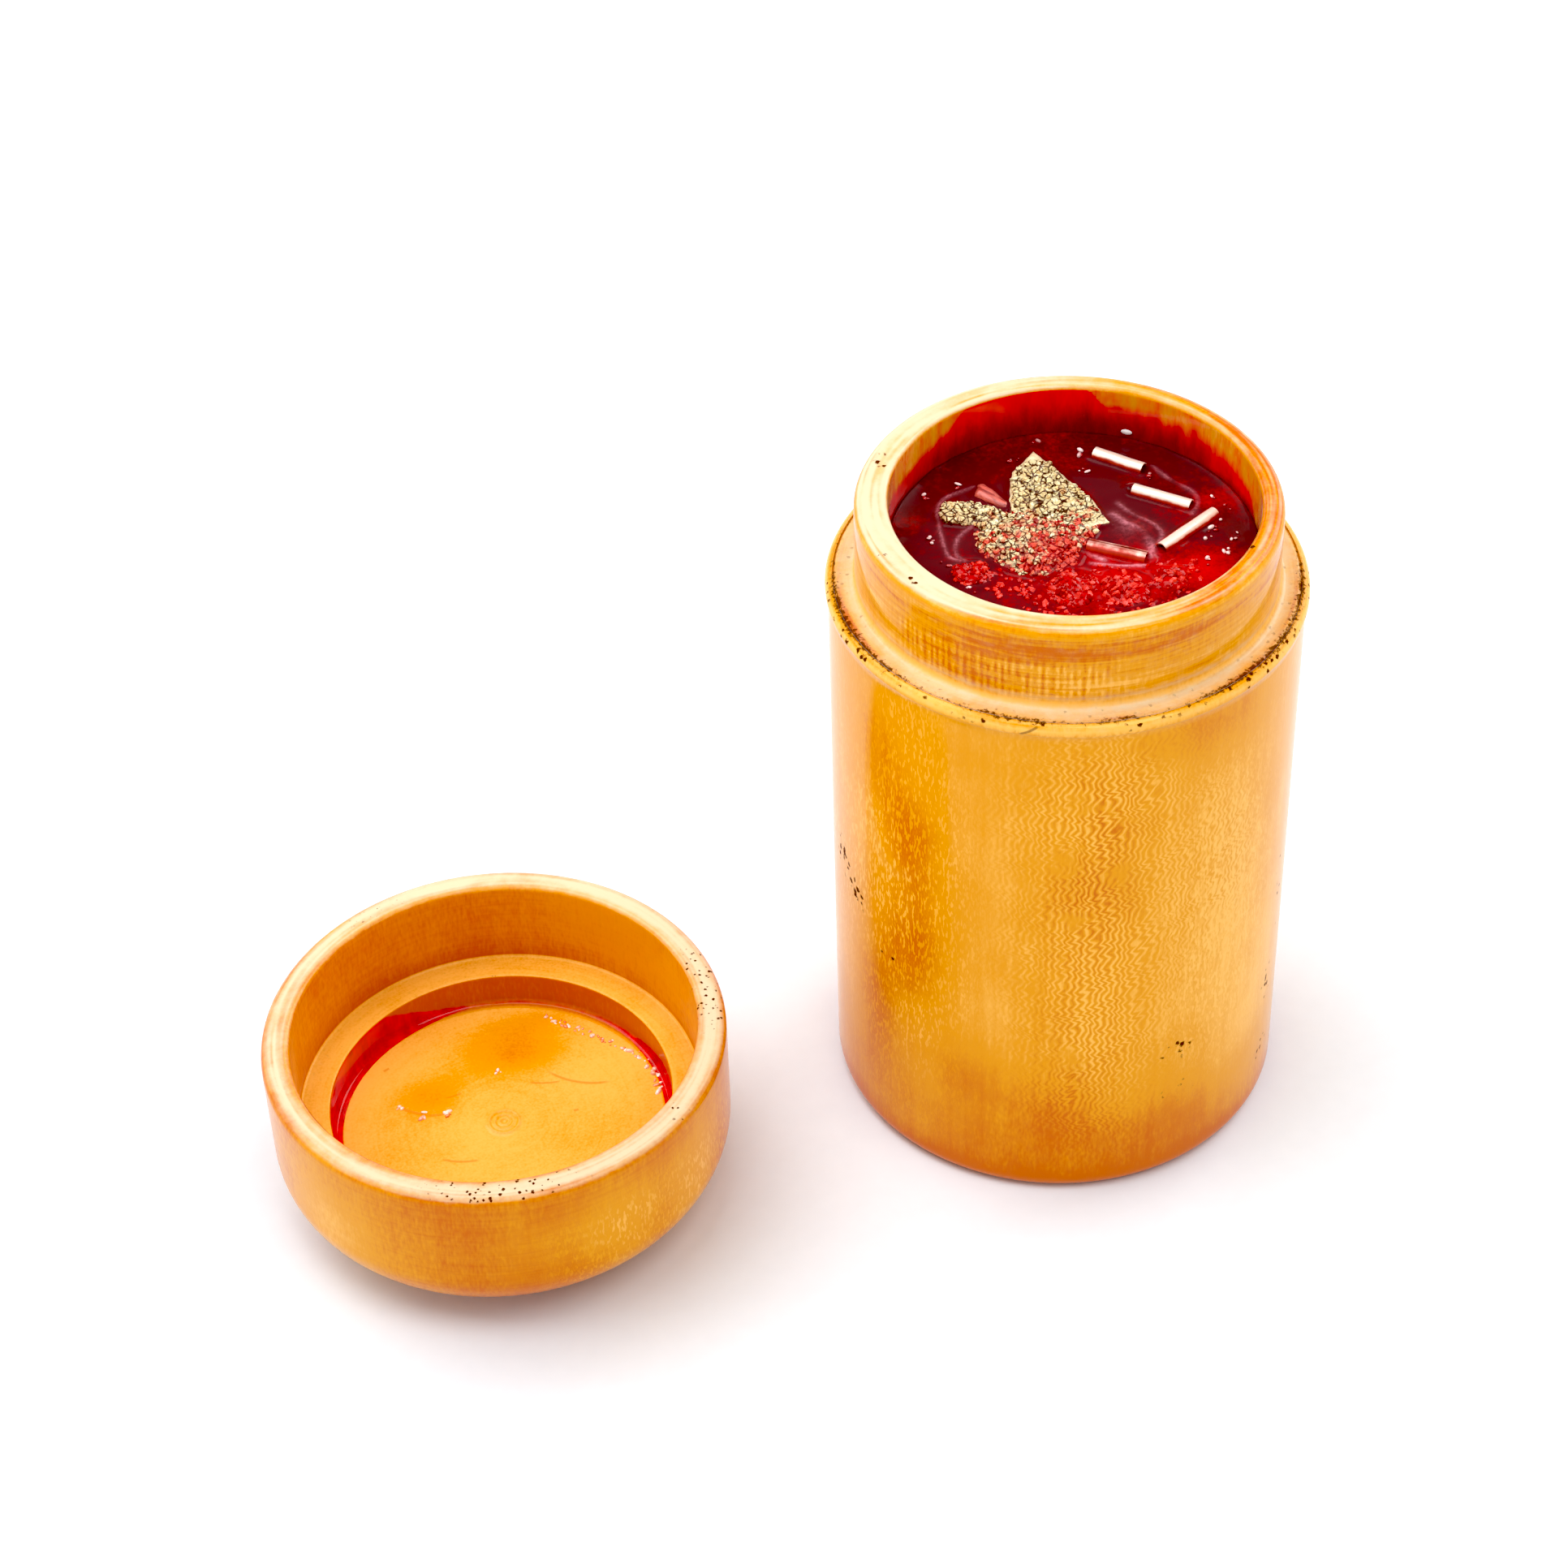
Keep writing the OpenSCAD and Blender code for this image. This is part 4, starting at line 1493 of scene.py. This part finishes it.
def makeChips():
    goldLeaf = makeLeafFinish()
    thick = contents["chipThickness"]
    foot = balmLevel - 0.02
    rows = [
        ("cornerChip", "gildedCornerChip", "corner_chip", chipHeight(1.0, thick, leaf["tilt"])),
        ("longChip", "gildedLongChip", "long_chip", chipHeight(5.0, thick)),
        ("paste", "gildedPaste", "gilded_paste", pasteHeightAt),
    ]
    for seed, (key, name, node, heightAt) in enumerate(rows):
        soakAt = soakFrom(*leaf["soak"][key])
        plain = plateMesh(key, contents[key], heightAt, foot, seed)
        paintTone(plain, soakAt, contents[key] if key == "cornerChip" else None)
        mesh = growMesh(addObject(key, plain), granules, {
            **granuleValues(leaf["density"], leaf["sizes"], leaf["seed"] + seed, goldLeaf),
            "Lowest Facing": 0.3,
        })
        x, y, _ = places(mesh).T
        paintMasks(mesh, {"soak": soakAt(x, y)})
        finishPiece(name, mesh, "jar", "leaf", node)
    mesh = plateMesh("barkChip", contents["barkChip"], chipHeight(8.0, thick), foot, 4)
    mesh.materials.append(makeBarkFinish())
    paintTone(mesh, soakFrom(*leaf["soak"]["barkChip"]))
    finishPiece("barkChip", mesh, "jar", "bark", "bark_chip")


makeChips()
print("chips and paste laid in")


def makeResinFinish():
    finish, tree, principled = newFinish("wetResin", resin["shader"])
    vein = placeIn(tree).grains(resin["veins"])
    level = painted(tree, "tone") + vein.off(0.6)
    colour = mixTint(level.fade(0.2, 1.1), *tints(*resin["tints"]))
    colour = mixTint(painted(tree, "under") * 0.8, colour, tint(*resin["ground"]))
    stain = useGroup(tree, oilStain, {"Color": colour, "Amount": painted(tree, "soak"), "Depth": 0.4})
    wire(stain["Color"], principled["Base Color"])
    addRelief(principled, vein, *resin["relief"])
    return finish


def makeLump(number, finish):
    share, radius = contents["lumps"][number]
    middle = onBalm(share)
    centre = Vector((middle[0], middle[1], balmLevel + contents["standOut"] - radius))
    work = bmesh.new()
    bmesh.ops.create_icosphere(work, subdivisions=5, radius=radius)
    for vert in work.verts:
        place = vert.co + Vector((number * 5.0, 0, 0))
        knob = resin["knobs"] * (0.5 - noise.voronoi(place * resin["knobsPerMm"])[0][0])
        grow = 0.97 + resin["uneven"] * noise.noise(place * 0.9) + knob / radius
        vert.co = (vert.co * Vector((resin["widen"], resin["widen"], 1.0)) * grow + centre) * mm
    mesh = writeTo(bpy.data.meshes.new("lump"), work)
    paintMasks(mesh, {"under": 1.0})
    mesh = growMesh(addObject("lump", mesh), granules, {
        **granuleValues(resin["density"], resin["sizes"], resin["lumpSeed"] + number, finish),
        "Lowest Facing": 0.1,
    })
    paintMasks(mesh, {"soak": soakedBelow(mesh)})
    finishPiece("resinLump%d" % number, mesh, "jar", "resin", "lump_%d" % number)


def soakedBelow(mesh):
    return 0.55 - 0.55 * rise(places(mesh)[:, 2], balmLevel - 0.1, balmLevel + 0.5)


def scatterOn(name, loops, level, values):
    # granules strewn over flat loops at one level, without the loops themselves
    verts = []
    faces = []
    for loop in loops:
        faces.append(list(range(len(verts), len(verts) + len(loop))))
        verts.extend((x * mm, y * mm, level * mm) for x, y in loop)
    values = {**values, "Lowest Facing": -2.0, "Keep Carrier": False}
    return growMesh(addObject(name, newMesh(name, verts, faces)), granules, values)


def squareAt(middle, size):
    half = size / 2
    return [middle + corner for corner in half * np.array([(-1, -1), (1, -1), (1, 1), (-1, 1)])]


# small oily beads tinted from dark to pale by their tone; the pale end is a painted highlight
def makeOilFinish(name, roughness, start, dark, pale):
    shader = {"Roughness": roughness, "Coat Weight": 1.0, "Coat Roughness": 0.03}
    finish, tree, principled = newFinish(name, shader)
    tone = painted(tree, "tone").fade(start, 0.8)
    wire(mixTint(tone, tint(*dark), tint(*pale)), principled["Base Color"])
    return finish


resinFinish = makeResinFinish()
for lumpNumber in contents["lumps"]:
    makeLump(lumpNumber, resinFinish)
crumbs = scatterOn(
    "resinCrumbs", [[onBalm(share) for share in contents["crumbs"]]], balmLevel,
    granuleValues(resin["crumbDensity"], resin["crumbSizes"], resin["crumbSeed"], resinFinish),
)
paintMasks(crumbs, {"soak": soakedBelow(crumbs)})
finishPiece("resinCrumbs", crumbs, "jar", "resin")
print("resin lumps set in")

# Bubbles in the balm. A look is a roughness, the tone from which they turn pale, and the dark and pale tints;
# the pale tint is a painted highlight
bubbles = {
    "look": (0.08, 0.3, (170, 16, 28), (252, 222, 218)),
    "seed": 41,
    "groupSize": 0.9,
    "density": 3.6e6,
    "sizes": (0.06 * mm, 0.2 * mm),
    "above": 0.08,
    "drop": (51.9, 57.5, 0.5),      # a drop on the bore's wall, pale as a painted highlight: direction in degrees, height and half length
}


def makeBubbles():
    loops = [squareAt(onBalm(share), bubbles["groupSize"]) for share in contents["bubbles"]]
    finish = makeOilFinish("oilBubbles", *bubbles["look"])
    mesh = scatterOn("oilBubbles", loops, balmLevel + bubbles["above"], {
        **granuleValues(bubbles["density"], bubbles["sizes"], bubbles["seed"], finish), "Faceted": False,
    })
    direction, height, size = bubbles["drop"]
    work = bmesh.new()
    work.from_mesh(mesh)
    turn = Matrix.Rotation(math.radians(direction), 4, "Z")
    wall = Vector((jar["boreShift"], 0, height)) + turn @ Vector((jar["mouthRadius"] - 0.08, 0, 0))
    shape = Matrix.Diagonal((0.3 * size * mm, size * mm, 0.5 * size * mm, 1))
    placed = Matrix.Translation(wall * mm) @ turn @ shape
    made = bmesh.ops.create_icosphere(work, subdivisions=3, radius=1, matrix=placed)
    # the drop takes the full pale tint, a painted highlight
    tones = work.verts.layers.float["tone"]
    for vert in made["verts"]:
        vert[tones] = 1.0
        for face in vert.link_faces:
            face.smooth = True
    writeTo(mesh, work)
    finishPiece("oilBubbles", mesh, "jar", "balm")


makeBubbles()

# Oil droplets along the edge of the lid's floor, pale as painted glints: places from the lid's middle, in
# millimetres
droplets = {
    "look": (0.1, 0.2, (240, 130, 60), (255, 232, 214)),
    "seed": 73,
    "line": [(6.6, 11.6), (9.3, 8.75), (11.4, 6.4), (13.3, 4.46), (14.1, 1.73), (14.1, -1.06)],
    "halfWidth": 0.34,
    "single": [(0.86, 6.13), (-8.3, 4.5), (-6.6, 3.1), (-4.6, 2.5)],
    "singleSize": 0.7,
    "density": 6.5e6,
    "sizes": (0.06 * mm, 0.22 * mm),
}


def makeDroplets():
    floor = lid["height"] - lid["socketDepth"] - lid["recess"]
    middle = np.array([lid["middle"], 0.0])
    loops = []
    line = smoothLine(droplets["line"], 4)
    for first, last in zip(line, line[1:]):
        run = last - first
        side = np.array([-run[1], run[0]]) / math.hypot(*run) * droplets["halfWidth"]
        loops.append([middle + corner for corner in (first - side, last - side, last + side, first + side)])
    loops.extend(squareAt(middle + place, droplets["singleSize"]) for place in droplets["single"])
    finish = makeOilFinish("oilDroplets", *droplets["look"])
    mesh = scatterOn("oilDroplets", loops, floor, {
        **granuleValues(droplets["density"], droplets["sizes"], droplets["seed"], finish), "Faceted": False,
    })
    finishPiece("oilDroplets", mesh, "lid", "balm")


makeDroplets()
print("bubbles and droplets added")

# Plain studio: white floor, white surroundings and large soft lights, each with place, size and power
studio = {
    "surroundings": (1.2, 0.32),      # radiance near the horizon and overhead
    "horizon": (0.15, 0.5),           # heights between which the one goes over into the other
    "floorSize": 0.9,
    "paper": ((231, 236, 242), (236, 241, 247)),
    "fibres": (0.5, 0.5, 0.5),
    "lights": [
        ((-0.30, 0.20, 0.76), 0.8, 6.3),
        ((0.12, -0.34, 0.74), 0.4, 2.1),
        ((0.58, 0.25, 0.46), 0.45, 2.5),
        ((-0.72, -0.06, 0.42), 0.45, 0.5),
    ],
    "blackLevel": 0.024,      # takes off the haze that white surroundings lay over dark places
    "target": (-0.02, 0.0, 0.03),
}


def makeWorld():
    world = bpy.data.worlds.new("studio")
    world.use_nodes = True
    tree = world.node_tree
    backdrop = tree.nodes["Background"].inputs
    backdrop["Color"].default_value = (1.0, 1.0, 1.0, 1.0)
    low, high = studio["surroundings"]
    overhead = placeIn(tree, "Generated").parts()[2].fade(*studio["horizon"])
    # the camera itself sees a pale backdrop
    unseen = 1.0 - flow(tree, "ShaderNodeLightPath", out="Is Camera Ray")
    wire(overhead * unseen * (high - low) + low, backdrop["Strength"])
    return world


def makeStudio():
    scene = bpy.context.scene
    scene.world = makeWorld()
    scene.view_settings.view_transform = "Standard"
    scene.view_settings.use_curve_mapping = True
    scene.view_settings.curve_mapping.black_level = [studio["blackLevel"]] * 3
    scene.view_settings.curve_mapping.update()
    for number, (place, size, power) in enumerate(studio["lights"]):
        lamp = bpy.data.lights.new("softbox%d" % (number + 1), "AREA")
        lamp.size = size
        lamp.energy = power
        box = addObject(lamp.name, lamp)
        aim = Vector(studio["target"]) - Vector(place)
        box.rotation_euler = aim.to_track_quat("-Z", "Y").to_euler()
        box.location = place
    corners = [(*corner, 0) for corner in squareAt(np.zeros(2), studio["floorSize"])]
    sheet = newMesh("floor", corners, [(0, 1, 2, 3)])
    paper, tree, principled = newFinish("whitePaper", {"Roughness": 0.7})
    fibre = placeIn(tree).grains(studio["fibres"])
    wire(mixTint(fibre, *tints(*studio["paper"])), principled["Base Color"])
    sheet.materials.append(paper)
    addObject("floor", sheet)


makeStudio()
print("studio set")
